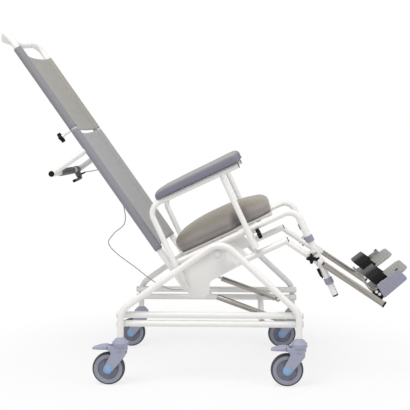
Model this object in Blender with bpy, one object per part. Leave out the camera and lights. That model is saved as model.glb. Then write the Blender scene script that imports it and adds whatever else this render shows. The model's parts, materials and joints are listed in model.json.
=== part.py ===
"""Tilt-in-space shower chair on four braked castors, modelled at real size in metres.

The fixed base is two bent side arches on castors, tied by rails and a cross tube.
The seat unit (seat, back, armrests and leg rests) hangs on a pivot under each arch and is
held by two gas springs. The seat unit is drawn level, with its pivot at the origin, and an
empty tips it back to the angle that the chair is stored at.
"""

import math

import bmesh
import bpy
from mathutils import Matrix, Vector

# Clearances
GAP = 0.0003
SLIDE_CLEARANCE = 0.0004

# How far welded shapes run into each other
WELD = 0.002

# Base: two arches, rails and the cross tube
WHEELBASE = 0.674
TRACK = 0.570
TUBE_DIAMETER = 0.025
TUBE_SIDES = 12
BEND_RADIUS = 0.072
LEG_BOTTOM = 0.179
REAR_CORNER_HEIGHT = 0.280
FRONT_CORNER_HEIGHT = 0.275
APEX_X = 0.044
APEX_HEIGHT = 0.550
GUSSET_RADIUS = 0.026
GUSSET_FRONT_REACH = 0.045
GUSSET_REAR_REACH = 0.055
LOWER_RAIL_HEIGHT = 0.228
RAIL_SPACING = 0.033
RAIL_OVERHANG = 0.015
CROSS_TUBE_X = 0.196

# Castors
WHEEL_DIAMETER = 0.125
WHEEL_WIDTH = 0.030
WHEEL_SIDES = 20
CASTOR_TRAIL = 0.045
CASTOR_HEAD_RADIUS = 0.031
CASTOR_HEAD_BOTTOM = 0.147
FORK_PLATE = 0.005
FORK_FRONT = 0.022
FORK_BODY_LOW = 0.115
FORK_NECK_RADIUS = 0.0265
FORK_NECK_LOW = 0.129
PEDAL_PIVOT_BACK = 0.036
PEDAL_PIVOT_BELOW_HEAD = 0.006
PEDAL_LUG = 0.010
FORK_CLEARANCE = 0.003
AXLE_DIAMETER = 0.012
PEDAL_LENGTH = 0.070
PEDAL_ROOT_HEIGHT = 0.022
PEDAL_TOE_WIDTH = 0.046

# Tilt pivot and gas springs
PIVOT_X = 0.030
PIVOT_BELOW_APEX = 0.056
REST_TILT_DEG = 25.0
PIVOT_BOLT_DIAMETER = 0.014
BOSS_RADIUS = 0.0155
BOSS_FLANGE_RADIUS = 0.021
PLATE = 0.005
SPRING_PIN_DIAMETER = 0.010
SPRING_FOOT_X = 0.271
SPRING_FOOT_HEIGHT = 0.231
SPRING_LUG_X = -0.111
SPRING_LUG_Z = -0.122
CYLINDER_DIAMETER = 0.022
CYLINDER_LENGTH = 0.236
CYLINDER_WALL = 0.002
ROD_DIAMETER = 0.010
EYE_WIDTH = 0.012
FOOT_EYE_RADIUS = 0.011
ROD_EYE_RADIUS = 0.0135
ROD_EYE_PLAY = 0.003

# Seat unit, in its own level frame
SEAT_TRACK = 0.455
SEAT_RAIL_Z = 0.031
HANGER_X = 0.338
HANGER_BOTTOM = -0.331
HANGER_BEND = 0.048
LOWER_SEAT_RAIL_Z = -0.067
LOWER_SEAT_RAIL_REAR = 0.040
LOWER_SEAT_RAIL_FRONT = 0.262
SEAT_CROSS_DIAMETER = 0.022
SEAT_CROSS_FRONT = 0.235
SEAT_CROSS_REAR = -0.120
BOARD_THICKNESS = 0.008
SEAT_REAR = -0.150
SEAT_FRONT = 0.268
CUSHION_WIDTH = 0.440
CUSHION_EDGE = 0.066
CUSHION_CROWN = 0.022
CUSHION_TUCK = 0.012

# Back frame and slings
BACK_LEAN_DEG = 10.0
BACK_FOOT_X = -0.168
BACK_FOOT_Z = -0.075
BACK_LENGTH = 1.200
BACK_BEND = 0.050
HOOP_BOW = 0.045
SLING_THICKNESS = 0.004
SLING_SAG = 0.020
SLEEVE_RADIUS = 0.0165
LOWER_SLING_START = 0.185
LOWER_SLING_LENGTH = 0.556
SLING_PARTING = 0.014
UPPER_SLING_LENGTH = 0.366

# Push bar, release lever and cable
PUSH_BAR_BELOW_KNOB = 0.093
PUSH_ARM_LENGTH = 0.168
PUSH_TUBE_DIAMETER = 0.023
PUSH_BAR_OVERHANG = 0.016
GRIP_RADIUS = 0.0150
GRIP_LENGTH = 0.220
LEVER_PIVOT_Y = 0.190
LEVER_LENGTH = 0.130
LEVER_DROP = 0.036
CABLE_DIAMETER = 0.004

# Armrests
ARM_TUBE_DIAMETER = 0.022
ARM_TOP_Z = 0.272
ARM_FRONT = 0.212
ARM_FRONT_POST_X = 0.140
ARM_REAR_POST_X = -0.165
ARM_BEND = 0.050
SOCKET_RADIUS = 0.0136
SOCKET_HEIGHT = 0.083
SOCKET_BOTTOM = -0.041
SOCKET_INSERT = 0.050
ARM_PAD_LENGTH = 0.360
ARM_PAD_WIDTH = 0.058
ARM_PAD_HEIGHT = 0.042
ARM_PAD_REAR = -0.124

# Star knobs
KNOB_RADIUS = 0.020
KNOB_THICKNESS = 0.016
KNOB_LOBES = 4
STUD_DIAMETER = 0.008

# Leg rests
LEG_PIVOT_Z = -0.189
LEG_PIN_DIAMETER = 0.012
LEG_DROP_DEG = 58.6
FOOT_ARM_DIAMETER = 0.020
FOOT_ARM_START = 0.018
FOOT_ARM_LENGTH = 0.289
SECTOR_RADIUS = 0.052
SECTOR_SWEEP_DEG = 50.0
LOCK_KNOB_X = 0.3135
STRUT_DIAMETER = 0.022
COLLAR_HEIGHT = 0.024
COLLAR_RADIUS = 0.0165
COLLAR_Z = -0.273
LATCH_LENGTH = 0.038
TOE_RISE_DEG = 13.0
BRACKET_ABOVE_END = 0.081
BRACKET_REACH = 0.0495
BRACKET_LENGTH = 0.100
BRACKET_HEIGHT = 0.052
FOOTPLATE_LENGTH = 0.168
FOOTPLATE_WIDTH = 0.185
FOOTPLATE_THICKNESS = 0.009
FOOTPLATE_CORNER = 0.026
FOOTPLATE_HEEL_BACK = 0.031
FOOTPLATE_EDGE = 0.009
HEEL_RIM = 0.020
STRAP_WIDTH = 0.048
STRAP_HEIGHT = 0.062
STRAP_THICKNESS = 0.004

# Places worked out from the sizes above
PIVOT_HEIGHT = APEX_HEIGHT - PIVOT_BELOW_APEX
BACK_KNOB_ALONG = LOWER_SLING_START + LOWER_SLING_LENGTH + SLING_PARTING / 2
PUSH_BAR_ALONG = BACK_KNOB_ALONG - PUSH_BAR_BELOW_KNOB
TUBE_R = TUBE_DIAMETER / 2
LEG_X = WHEELBASE / 2
ARCH_Y = TRACK / 2
RAIL_Y = ARCH_Y - TUBE_DIAMETER + WELD
UPPER_RAIL_HEIGHT = LOWER_RAIL_HEIGHT + RAIL_SPACING
GUSSET_OUTER_Y = ARCH_Y - TUBE_R + WELD * 1.5
GUSSET_INNER_Y = GUSSET_OUTER_Y - PLATE
SEAT_Y = SEAT_TRACK / 2
SIDE_PLATE_OUTER_Y = SEAT_Y - TUBE_R + WELD * 1.5
SIDE_PLATE_INNER_Y = SIDE_PLATE_OUTER_Y - PLATE
SPRING_Y = SIDE_PLATE_INNER_Y - 0.0015 - EYE_WIDTH / 2
SPRING_PLATE_OUTER_Y = RAIL_Y - TUBE_R + WELD * 1.5
ARM_Y = SEAT_Y + TUBE_R + SOCKET_RADIUS - WELD * 0.75
SECTOR_INNER_Y = SEAT_Y + TUBE_R + 0.0015
SECTOR_OUTER_Y = SECTOR_INNER_Y + PLATE
FOOT_ARM_Y = SECTOR_OUTER_Y + FOOT_ARM_DIAMETER / 2 - WELD
BOARD_BOTTOM = SEAT_RAIL_Z + TUBE_R + GAP
CUSHION_BOTTOM = BOARD_BOTTOM + BOARD_THICKNESS + GAP
AXLE_HEIGHT = WHEEL_DIAMETER / 2 * math.cos(math.pi / WHEEL_SIDES)

# A faceted circle's flats lie inside its corners by this share of the radius
FACET = math.cos(math.pi / TUBE_SIDES)

SIDES = {"right": -1.0, "left": 1.0}


def clear_scene():
    for obj in list(bpy.data.objects):
        bpy.data.objects.remove(obj, do_unlink=True)


def make_material(name, colour, roughness, metallic=0.0):
    material = bpy.data.materials.new(name)
    material.use_nodes = True
    shader = material.node_tree.nodes["Principled BSDF"]
    shader.inputs["Base Color"].default_value = (*colour, 1.0)
    shader.inputs["Roughness"].default_value = roughness
    shader.inputs["Metallic"].default_value = metallic
    return material


def make_materials():
    return {
        "white_paint": make_material("white_paint", (0.86, 0.87, 0.88), 0.35),
        "stainless": make_material("stainless", (0.60, 0.59, 0.57), 0.30, 1.0),
        "black_plastic": make_material("black_plastic", (0.02, 0.02, 0.022), 0.45),
        "grey_plastic": make_material("grey_plastic", (0.46, 0.46, 0.48), 0.50),
        "grey_tyre": make_material("grey_tyre", (0.36, 0.37, 0.38), 0.65),
        "seat_vinyl": make_material("seat_vinyl", (0.42, 0.39, 0.35), 0.55),
        "sling_fabric": make_material("sling_fabric", (0.42, 0.42, 0.42), 0.80),
        "black_webbing": make_material("black_webbing", (0.02, 0.02, 0.02), 0.85),
        "cable_grey": make_material("cable_grey", (0.35, 0.35, 0.34), 0.55),
    }


def make_empty(name, location=(0, 0, 0), parent=None):
    empty = bpy.data.objects.new(name, None)
    empty.location = location
    empty.parent = parent
    bpy.context.collection.objects.link(empty)
    return empty


def add_shape(name, shape, material, parent):
    """One closed shape, a list of points and a list of faces, as an object of its own."""
    points, faces = shape
    mesh = bpy.data.meshes.new(name)
    bm = bmesh.new()
    verts = [bm.verts.new(p) for p in points]
    for face in faces:
        bm.faces.new([verts[i] for i in face])
    bmesh.ops.recalc_face_normals(bm, faces=bm.faces)
    bm.to_mesh(mesh)
    bm.free()
    mesh.materials.append(material)
    obj = bpy.data.objects.new(name, mesh)
    obj.parent = parent
    bpy.context.collection.objects.link(obj)
    return obj


def combine(obj, shapes, operation):
    """Welds closed shapes onto an object, or cuts them out of it, and keeps the result as its mesh."""
    helpers = []
    for i, shape in enumerate(shapes):
        helper = add_shape(f"{obj.name}_tool_{i}", shape, obj.data.materials[0], obj.parent)
        modifier = obj.modifiers.new(helper.name, "BOOLEAN")
        modifier.operation = operation
        modifier.object = helper
        helpers.append(helper)
    bpy.context.view_layer.update()
    depsgraph = bpy.context.evaluated_depsgraph_get()
    result = bpy.data.meshes.new_from_object(obj.evaluated_get(depsgraph))
    obj.modifiers.clear()
    obj.data = result
    for helper in helpers:
        bpy.data.objects.remove(helper, do_unlink=True)


def make_object(name, shapes, material, parent, cuts=()):
    """One named piece: closed shapes welded into one body, less the shapes that are cut out of it."""
    obj = add_shape(name, shapes[0], material, parent)
    if len(shapes) > 1:
        combine(obj, shapes[1:], "UNION")
    if cuts:
        combine(obj, cuts, "DIFFERENCE")
    obj.data.shade_smooth()
    obj.data.set_sharp_from_angle(angle=math.radians(35))
    return obj


def arc(centre, radius, start_deg, end_deg, steps):
    """Points on a circle arc in a plane, as pairs."""
    angles = [math.radians(start_deg + (end_deg - start_deg) * i / steps) for i in range(steps + 1)]
    return [(centre[0] + radius * math.cos(a), centre[1] + radius * math.sin(a)) for a in angles]


def bend_path(corners, radius, steps=4):
    """A path through corner points with every inner corner rounded to one bend radius."""
    corners = [Vector(c) for c in corners]
    path = [corners[0]]
    for before, corner, after in zip(corners, corners[1:], corners[2:]):
        into = (before - corner).normalized()
        out = (after - corner).normalized()
        half = into.angle(out) / 2
        reach = radius / math.tan(half)
        centre = corner + (into + out).normalized() * (radius / math.sin(half))
        start = corner + into * reach - centre
        end = corner + out * reach - centre
        for i in range(steps + 1):
            path.append(centre + start.slerp(end, i / steps) * radius)
    path.append(corners[-1])
    return path


def tube(path, diameter, sides=TUBE_SIDES):
    """A round bar along a path, its ring carried from point to point without twist."""
    path = [Vector(p) for p in path]
    radius = diameter / 2
    tangents = []
    for i in range(len(path)):
        ahead = path[min(i + 1, len(path) - 1)]
        behind = path[max(i - 1, 0)]
        tangents.append((ahead - behind).normalized())
    normal = tangents[0].orthogonal().normalized()
    points = []
    for i, (point, tangent) in enumerate(zip(path, tangents)):
        if i:
            normal = tangents[i - 1].rotation_difference(tangent) @ normal
        normal = (normal - tangent * normal.dot(tangent)).normalized()
        side = tangent.cross(normal)
        stretch = 1.0
        if 0 < i < len(path) - 1:
            half = (path[i + 1] - point).angle(point - path[i - 1]) / 2
            stretch = 1.0 / math.cos(half)
        bend = tangents[i].cross(path[min(i + 1, len(path) - 1)] - point)
        for k in range(sides):
            a = 2 * math.pi * k / sides
            offset = normal * math.cos(a) + side * math.sin(a)
            if stretch > 1.0 and bend.length > 1e-9:
                across = tangent.cross(bend.normalized())
                offset = offset + across * offset.dot(across) * (stretch - 1.0)
            points.append(point + offset * radius)
    faces = []
    for i in range(len(path) - 1):
        for k in range(sides):
            n = (k + 1) % sides
            faces.append((i * sides + k, i * sides + n, (i + 1) * sides + n, (i + 1) * sides + k))
    faces.append(tuple(range(sides)))
    last = (len(path) - 1) * sides
    faces.append(tuple(last + k for k in range(sides)))
    return points, faces


def rod(start, end, diameter, sides=TUBE_SIDES):
    return tube([start, end], diameter, sides)


def turned(profile, centre, axis, sides=14, phase=0.0):
    """A turned solid: pairs of radius and distance along the axis; a zero radius is a pole."""
    axis = Vector(axis).normalized()
    first = axis.orthogonal().normalized()
    if abs(axis.y) > 0.9:
        first = Vector((0, 0, 1))
    second = axis.cross(first)
    centre = Vector(centre)
    is_ring = profile[0][0] > 0 and profile[-1][0] > 0
    points = []
    rings = []
    for radius, along in profile:
        if radius == 0:
            rings.append([len(points)])
            points.append(centre + axis * along)
            continue
        rings.append([len(points) + k for k in range(sides)])
        for k in range(sides):
            a = 2 * math.pi * (k + phase) / sides
            points.append(centre + axis * along + (first * math.cos(a) + second * math.sin(a)) * radius)
    faces = []
    pairs = list(zip(rings, rings[1:]))
    if is_ring:
        pairs.append((rings[-1], rings[0]))
    for low, high in pairs:
        for k in range(sides):
            n = (k + 1) % sides
            if len(low) == 1:
                faces.append((low[0], high[k], high[n]))
            elif len(high) == 1:
                faces.append((low[k], low[n], high[0]))
            else:
                faces.append((low[k], low[n], high[n], high[k]))
    return points, faces


def drum(centre, axis, radius, start, end, sides=14):
    """A plain round disc or pin along an axis."""
    return turned([(0, start), (radius, start), (radius, end), (0, end)], centre, axis, sides)


def bore(centre, axis, radius, start, end, sides=14):
    """A round cutter along an axis, its corners turned so that none falls on an edge of what it cuts."""
    return turned([(0, start), (radius, start), (radius, end), (0, end)], centre, axis, sides, 0.37)


def ring(centre, axis, inner, outer, start, end, sides=14):
    """A round sleeve along an axis, its bore clear of the inner radius at the flats too."""
    clear = inner / math.cos(math.pi / sides)
    return turned([(clear, start), (outer, start), (outer, end), (clear, end)], centre, axis, sides)


def plate(outline, y_from, y_to, holes=()):
    """A flat plate: an outline of X and Z pairs, with any holes, carried across from Y to Y."""
    bm = bmesh.new()
    for loop in (outline, *holes):
        verts = [bm.verts.new((x, y_from, z)) for x, z in loop]
        for a, b in zip(verts, verts[1:] + verts[:1]):
            bm.edges.new((a, b))
    bmesh.ops.triangle_fill(bm, use_beauty=True, use_dissolve=False, edges=bm.edges[:])
    grown = bmesh.ops.extrude_face_region(bm, geom=bm.faces[:])
    moved = [v for v in grown["geom"] if isinstance(v, bmesh.types.BMVert)]
    bmesh.ops.translate(bm, verts=moved, vec=(0, y_to - y_from, 0))
    bm.verts.index_update()
    points = [v.co.copy() for v in bm.verts]
    faces = [tuple(v.index for v in f.verts) for f in bm.faces]
    bm.free()
    return points, faces


def turn_shape(shape, matrix):
    points, faces = shape
    return [matrix @ Vector(p) for p in points], faces


def star_knob(centre, axis, stud_length):
    """A lobed knob whose back face lies at the centre point, with its threaded stud behind it."""
    steps = KNOB_LOBES * 5
    outline = []
    for i in range(steps):
        a = 2 * math.pi * i / steps
        radius = KNOB_RADIUS * (0.84 + 0.16 * math.cos(KNOB_LOBES * a))
        outline.append((radius * math.cos(a), radius * math.sin(a)))
    body = plate(outline, 0, KNOB_THICKNESS)
    stud = drum((0, 0, 0), (0, 1, 0), STUD_DIAMETER / 2, -stud_length, KNOB_THICKNESS / 2, 10)
    spin = Vector((0, 1, 0)).rotation_difference(Vector(axis)).to_matrix().to_4x4()
    matrix = Matrix.Translation(centre) @ spin
    return [turn_shape(body, matrix), turn_shape(stud, matrix)]


def base_frame(root, mats):
    """The two welded side frames of the base, the cross tube between them and the pivot bolts."""
    rail_end = LEG_X + RAIL_OVERHANG
    bolt_r = PIVOT_BOLT_DIAMETER / 2
    for side, sign in SIDES.items():
        y = sign * ARCH_Y
        arch = tube(bend_path([
            (-LEG_X, y, LEG_BOTTOM),
            (-LEG_X, y, REAR_CORNER_HEIGHT),
            (APEX_X, y, APEX_HEIGHT),
            (LEG_X, y, FRONT_CORNER_HEIGHT),
            (LEG_X, y, LEG_BOTTOM),
        ], BEND_RADIUS), TUBE_DIAMETER)
        rails = [rod((-rail_end, sign * RAIL_Y, z), (rail_end, sign * RAIL_Y, z), TUBE_DIAMETER)
                 for z in (LOWER_RAIL_HEIGHT, UPPER_RAIL_HEIGHT)]
        hole = bore((PIVOT_X, 0, PIVOT_HEIGHT), (0, sign, 0), bolt_r + 2 * GAP, GUSSET_INNER_Y - PLATE,
                    GUSSET_OUTER_Y + PLATE)
        shapes = [arch, *rails, gusset(sign), spring_foot(sign), spring_foot_pin(sign)]
        make_object(f"base_side_frame_{side}", shapes, mats["white_paint"], root, [hole])
        bolt = [(0, SIDE_PLATE_INNER_Y - 0.006), (bolt_r, SIDE_PLATE_INNER_Y - 0.006),
                (bolt_r, GUSSET_OUTER_Y + GAP), (bolt_r * 1.8, GUSSET_OUTER_Y + GAP),
                (bolt_r * 1.8, GUSSET_OUTER_Y + 0.005), (bolt_r * 1.4, GUSSET_OUTER_Y + 0.007),
                (0, GUSSET_OUTER_Y + 0.007)]
        make_object(f"pivot_bolt_{side}", [turned(bolt, (PIVOT_X, 0, PIVOT_HEIGHT), (0, sign, 0))],
                    mats["stainless"], root)
    half = RAIL_Y - TUBE_R - GAP
    cross = rod((CROSS_TUBE_X, -half, LOWER_RAIL_HEIGHT), (CROSS_TUBE_X, half, LOWER_RAIL_HEIGHT),
                TUBE_DIAMETER)
    make_object("base_cross_tube", [cross], mats["white_paint"], root)


def gusset(sign):
    """The plate under the top of an arch, rounded below, that carries the tilt pivot."""
    front = PIVOT_X + GUSSET_FRONT_REACH
    rear = PIVOT_X - GUSSET_REAR_REACH
    outline = arc((PIVOT_X, PIVOT_HEIGHT), GUSSET_RADIUS, 180, 360, 8)
    outline += [(front, arch_height(front) - TUBE_R / 2), (PIVOT_X, arch_height(PIVOT_X) - TUBE_R),
                (rear, arch_height(rear))]
    return plate(outline, sign * GUSSET_INNER_Y, sign * GUSSET_OUTER_Y)


def arch_height(x):
    """Height of the straight sides of an arch's centre line, which meet at its apex."""
    if x < APEX_X:
        return APEX_HEIGHT - (APEX_X - x) * (APEX_HEIGHT - REAR_CORNER_HEIGHT) / (APEX_X + LEG_X)
    return APEX_HEIGHT - (x - APEX_X) * (APEX_HEIGHT - FRONT_CORNER_HEIGHT) / (LEG_X - APEX_X)


def spring_foot(sign):
    """The plate across both base rails that carries a gas spring's foot."""
    low = LOWER_RAIL_HEIGHT - TUBE_R
    high = UPPER_RAIL_HEIGHT + TUBE_R
    outline = [(SPRING_FOOT_X - 0.024, low), (SPRING_FOOT_X + 0.024, low),
               (SPRING_FOOT_X + 0.016, high), (SPRING_FOOT_X - 0.016, high)]
    return plate(outline, sign * (SPRING_PLATE_OUTER_Y - PLATE), sign * SPRING_PLATE_OUTER_Y)


def spring_foot_pin(sign):
    """The shouldered pin, welded in the plate, that a gas spring's foot turns on."""
    r = SPRING_PIN_DIAMETER / 2
    root_y = SPRING_PLATE_OUTER_Y - PLATE / 2
    step = SPRING_Y + EYE_WIDTH / 2 + GAP
    tip = SPRING_Y - EYE_WIDTH / 2 - 0.004
    profile = [(0, tip), (r, tip), (r, step), (r * 1.3, step), (r * 1.3, root_y), (0, root_y)]
    return turned(profile, (SPRING_FOOT_X, 0, SPRING_FOOT_HEIGHT), (0, sign, 0))


def castor(name, x, sign, root, mats):
    """One castor: a swivelling fork with its axle, a wheel and a brake pedal, trailing to the rear."""
    swivel = make_empty(f"swivel_{name}", (x, sign * ARCH_Y, 0), root)
    head = [(0, CASTOR_HEAD_BOTTOM), (CASTOR_HEAD_RADIUS, CASTOR_HEAD_BOTTOM),
            (CASTOR_HEAD_RADIUS, LEG_BOTTOM - 0.016), (CASTOR_HEAD_RADIUS * 0.72, LEG_BOTTOM - 0.006),
            (TUBE_R, LEG_BOTTOM - GAP), (0, LEG_BOTTOM - GAP)]
    neck = [(0, FORK_NECK_LOW), (FORK_NECK_RADIUS, FORK_NECK_LOW),
            (FORK_NECK_RADIUS, CASTOR_HEAD_BOTTOM + WELD), (0, CASTOR_HEAD_BOTTOM + WELD)]
    shapes = [turned(head, (0, 0, 0), (0, 0, 1), 14), turned(neck, (0, 0, 0), (0, 0, 1), 14, 0.5)]
    half = WHEEL_WIDTH / 2 + FORK_CLEARANCE
    hub = (-CASTOR_TRAIL, AXLE_HEIGHT)
    top = CASTOR_HEAD_BOTTOM + WELD
    lug = -PEDAL_PIVOT_BACK - PEDAL_LUG
    lug_low = CASTOR_HEAD_BOTTOM - PEDAL_PIVOT_BELOW_HEAD - PEDAL_LUG * 0.6
    cheek = arc(hub, 0.017, 140, 320, 6) + [(FORK_FRONT, FORK_BODY_LOW), (FORK_FRONT, top), (lug, top)]
    cheek += [(lug, lug_low), (lug + PEDAL_LUG * 1.5, lug_low - PEDAL_LUG)]
    for cheek_sign in (-1, 1):
        shapes.append(plate(cheek, cheek_sign * half, cheek_sign * (half + FORK_PLATE)))
        cap = [(0, half + WELD), (0.0150, half + WELD), (0.0150, half + FORK_PLATE + 0.002),
               (0.0110, half + FORK_PLATE + 0.005), (0, half + FORK_PLATE + 0.006)]
        shapes.append(turned(cap, (hub[0], 0, hub[1]), (0, cheek_sign, 0), 10))
    shapes.append(drum((hub[0], 0, hub[1]), (0, 1, 0), AXLE_DIAMETER / 2, -half - WELD, half + WELD, 10))
    make_object(f"castor_fork_{name}", shapes, mats["grey_plastic"], swivel)

    spin = make_empty(f"spin_{name}", (-CASTOR_TRAIL, 0, AXLE_HEIGHT), swivel)
    bore = AXLE_DIAMETER / 2 + GAP
    r = WHEEL_DIAMETER / 2
    w = WHEEL_WIDTH / 2
    hub_w = half - GAP
    profile = [(bore, -hub_w), (0.014, -hub_w), (0.016, -w * 0.62), (r * 0.66, -w * 0.62), (r * 0.74, -w),
               (r * 0.92, -w), (r, -w * 0.55), (r, w * 0.55), (r * 0.92, w), (r * 0.74, w),
               (r * 0.66, w * 0.62), (0.016, w * 0.62), (0.014, hub_w), (bore, hub_w)]
    wheel = turned(profile, (0, 0, 0), (0, 1, 0), WHEEL_SIDES, 0.5)
    make_object(f"castor_wheel_{name}", [wheel], mats["grey_tyre"], spin)

    pedal_height = CASTOR_HEAD_BOTTOM - PEDAL_PIVOT_BELOW_HEAD
    press = make_empty(f"pedal_{name}", (-PEDAL_PIVOT_BACK, 0, pedal_height), swivel)
    make_object(f"brake_pedal_{name}", [pedal_shape(half)], mats["grey_plastic"], press)


def pedal_shape(half):
    """A foot lever: a deep root between the fork cheeks, then a wide hood that thins to its toe."""
    inner = half - GAP
    toe = PEDAL_TOE_WIDTH / 2
    deep = PEDAL_ROOT_HEIGHT
    spread = -PEDAL_LUG - 0.004
    stations = [(0.003, inner, -deep * 0.45, deep * 0.18),
                (spread + 0.0025, inner, -deep * 0.45, deep * 0.55),
                (spread, toe, -deep * 0.36, deep * 0.58),
                (-PEDAL_LENGTH * 0.56, toe, -deep * 0.32, deep * 0.46),
                (-PEDAL_LENGTH * 0.85, toe * 0.92, -deep * 0.27, deep * 0.20),
                (-PEDAL_LENGTH, toe * 0.6, -deep * 0.23, 0.0)]
    points = []
    for x, wide, low, high in stations:
        crown = (high - low) * 0.25
        for y, z in ((-wide, low), (wide, low), (wide, high - crown), (wide * 0.7, high),
                     (-wide * 0.7, high), (-wide, high - crown)):
            points.append((x, y, z))
    around = 6
    faces = [tuple(range(around)), tuple(range(len(points) - around, len(points)))]
    for i in range(len(stations) - 1):
        for k in range(around):
            n = (k + 1) % around
            faces.append((i * around + k, i * around + n, (i + 1) * around + n, (i + 1) * around + k))
    return points, faces


def seat_frame(seat, mats):
    """The two welded side frames of the seat, the cross tubes between them and the hanger collars."""
    for side, sign in SIDES.items():
        y = sign * SEAT_Y
        rail_rear = back_point((SEAT_RAIL_Z - BACK_FOOT_Z) / math.cos(math.radians(BACK_LEAN_DEG)))[0]
        corners = [(rail_rear, y, SEAT_RAIL_Z), (HANGER_X, y, SEAT_RAIL_Z), (HANGER_X, y, HANGER_BOTTOM)]
        rail = tube(bend_path(corners, HANGER_BEND, 6), TUBE_DIAMETER)
        lower = rod((LOWER_SEAT_RAIL_REAR, y, LOWER_SEAT_RAIL_Z),
                    (LOWER_SEAT_RAIL_FRONT, y, LOWER_SEAT_RAIL_Z), TUBE_DIAMETER)
        strut = rod((strut_start(), y, LOWER_SEAT_RAIL_Z), (HANGER_X, y, strut_height(HANGER_X)),
                    STRUT_DIAMETER)
        outer = GUSSET_INNER_Y - GAP
        shoulder = SEAT_Y + TUBE_R + 0.0015
        boss = turned([(0, SIDE_PLATE_INNER_Y + WELD / 2), (BOSS_RADIUS, SIDE_PLATE_INNER_Y + WELD / 2),
                       (BOSS_RADIUS, shoulder), (BOSS_FLANGE_RADIUS, shoulder),
                       (BOSS_FLANGE_RADIUS, outer), (0, outer)], (0, 0, 0), (0, sign, 0))
        tip = SPRING_Y - EYE_WIDTH / 2 - 0.004
        lug_pin = drum((SPRING_LUG_X, 0, SPRING_LUG_Z), (0, sign, 0), SPRING_PIN_DIAMETER / 2, tip,
                       SIDE_PLATE_INNER_Y + PLATE / 2, 12)
        sockets = []
        cuts = [bore((0, 0, 0), (0, sign, 0), PIVOT_BOLT_DIAMETER / 2 + 2 * GAP, SIDE_PLATE_INNER_Y - PLATE,
                     outer + PLATE)]
        for x in (ARM_REAR_POST_X, ARM_FRONT_POST_X):
            base = (x, sign * ARM_Y, SOCKET_BOTTOM)
            sockets.append(drum(base, (0, 0, 1), SOCKET_RADIUS, 0, SOCKET_HEIGHT))
            cuts.append(bore(base, (0, 0, 1), ARM_TUBE_DIAMETER / 2 + SLIDE_CLEARANCE, -PLATE,
                             SOCKET_HEIGHT + PLATE))
        low = back_point(-0.05)
        high = back_point(0.25)
        cuts.append(rod((low[0], y, low[1]), (high[0], y, high[1]), (TUBE_DIAMETER + 2 * GAP) / FACET))
        shapes = [rail, side_plate(sign), lower, strut, boss, lug_pin, leg_pin(sign), *sockets]
        make_object(f"seat_side_frame_{side}", shapes, mats["white_paint"], seat, cuts)
        collar = ring((HANGER_X, y, COLLAR_Z), (0, 0, 1), TUBE_R + GAP, COLLAR_RADIUS, -COLLAR_HEIGHT / 2,
                      COLLAR_HEIGHT / 2)
        make_object(f"hanger_collar_{side}", [collar], mats["grey_plastic"], seat)
        plug = [(0, GAP), (TUBE_R * 0.94, GAP), (TUBE_R * 0.94, 0.004), (TUBE_R * 0.6, 0.007), (0, 0.007)]
        make_object(f"hanger_plug_{side}", [turned(plug, (HANGER_X, y, HANGER_BOTTOM), (0, 0, -1), 12)],
                    mats["black_plastic"], seat)
    for name, x, half in (("rear", SEAT_CROSS_REAR, SIDE_PLATE_INNER_Y - GAP),
                          ("front", SEAT_CROSS_FRONT, SEAT_Y - TUBE_R - GAP)):
        cross = rod((x, -half, SEAT_RAIL_Z), (x, half, SEAT_RAIL_Z), SEAT_CROSS_DIAMETER, 12)
        make_object(f"seat_cross_tube_{name}", [cross], mats["white_paint"], seat)


def strut_start():
    """X where the strut's centre line leaves the lower seat rail."""
    return LOWER_SEAT_RAIL_FRONT - 0.008


def strut_height(x):
    """Height of the strut's centre line, which runs parallel to the lowered leg rest."""
    return LOWER_SEAT_RAIL_Z - (x - strut_start()) * math.tan(math.radians(LEG_DROP_DEG))


def side_plate(sign):
    """The welded plate inside the side tubes, from the back foot to the pivot and the spring lug."""
    outline = [(BACK_FOOT_X - 0.004, BACK_FOOT_Z - 0.010), (BACK_FOOT_X + 0.002, BACK_FOOT_Z - 0.046)]
    outline += arc((SPRING_LUG_X, SPRING_LUG_Z), 0.015, 225, 330, 4)
    outline += [(SPRING_LUG_X + 0.034, LOWER_SEAT_RAIL_Z - 0.022),
                (LOWER_SEAT_RAIL_REAR + 0.045, LOWER_SEAT_RAIL_Z - 0.012),
                (LOWER_SEAT_RAIL_REAR + 0.060, LOWER_SEAT_RAIL_Z + 0.012), (0.062, SEAT_RAIL_Z + 0.002),
                (BACK_FOOT_X + 0.012, SEAT_RAIL_Z + 0.002)]
    return plate(outline, sign * SIDE_PLATE_INNER_Y, sign * SIDE_PLATE_OUTER_Y)


def seat_pad(seat, mats):
    """The seat board and the domed cushion on it."""
    board_half = SEAT_Y + TUBE_R * 0.4
    board = plate([(SEAT_REAR + 0.006, BOARD_BOTTOM), (SEAT_FRONT - 0.006, BOARD_BOTTOM),
                   (SEAT_FRONT - 0.006, BOARD_BOTTOM + BOARD_THICKNESS),
                   (SEAT_REAR + 0.006, BOARD_BOTTOM + BOARD_THICKNESS)], -board_half, board_half)
    make_object("seat_board", [board], mats["grey_plastic"], seat)
    make_object("seat_cushion", [cushion_shape()], mats["seat_vinyl"], seat)


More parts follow.
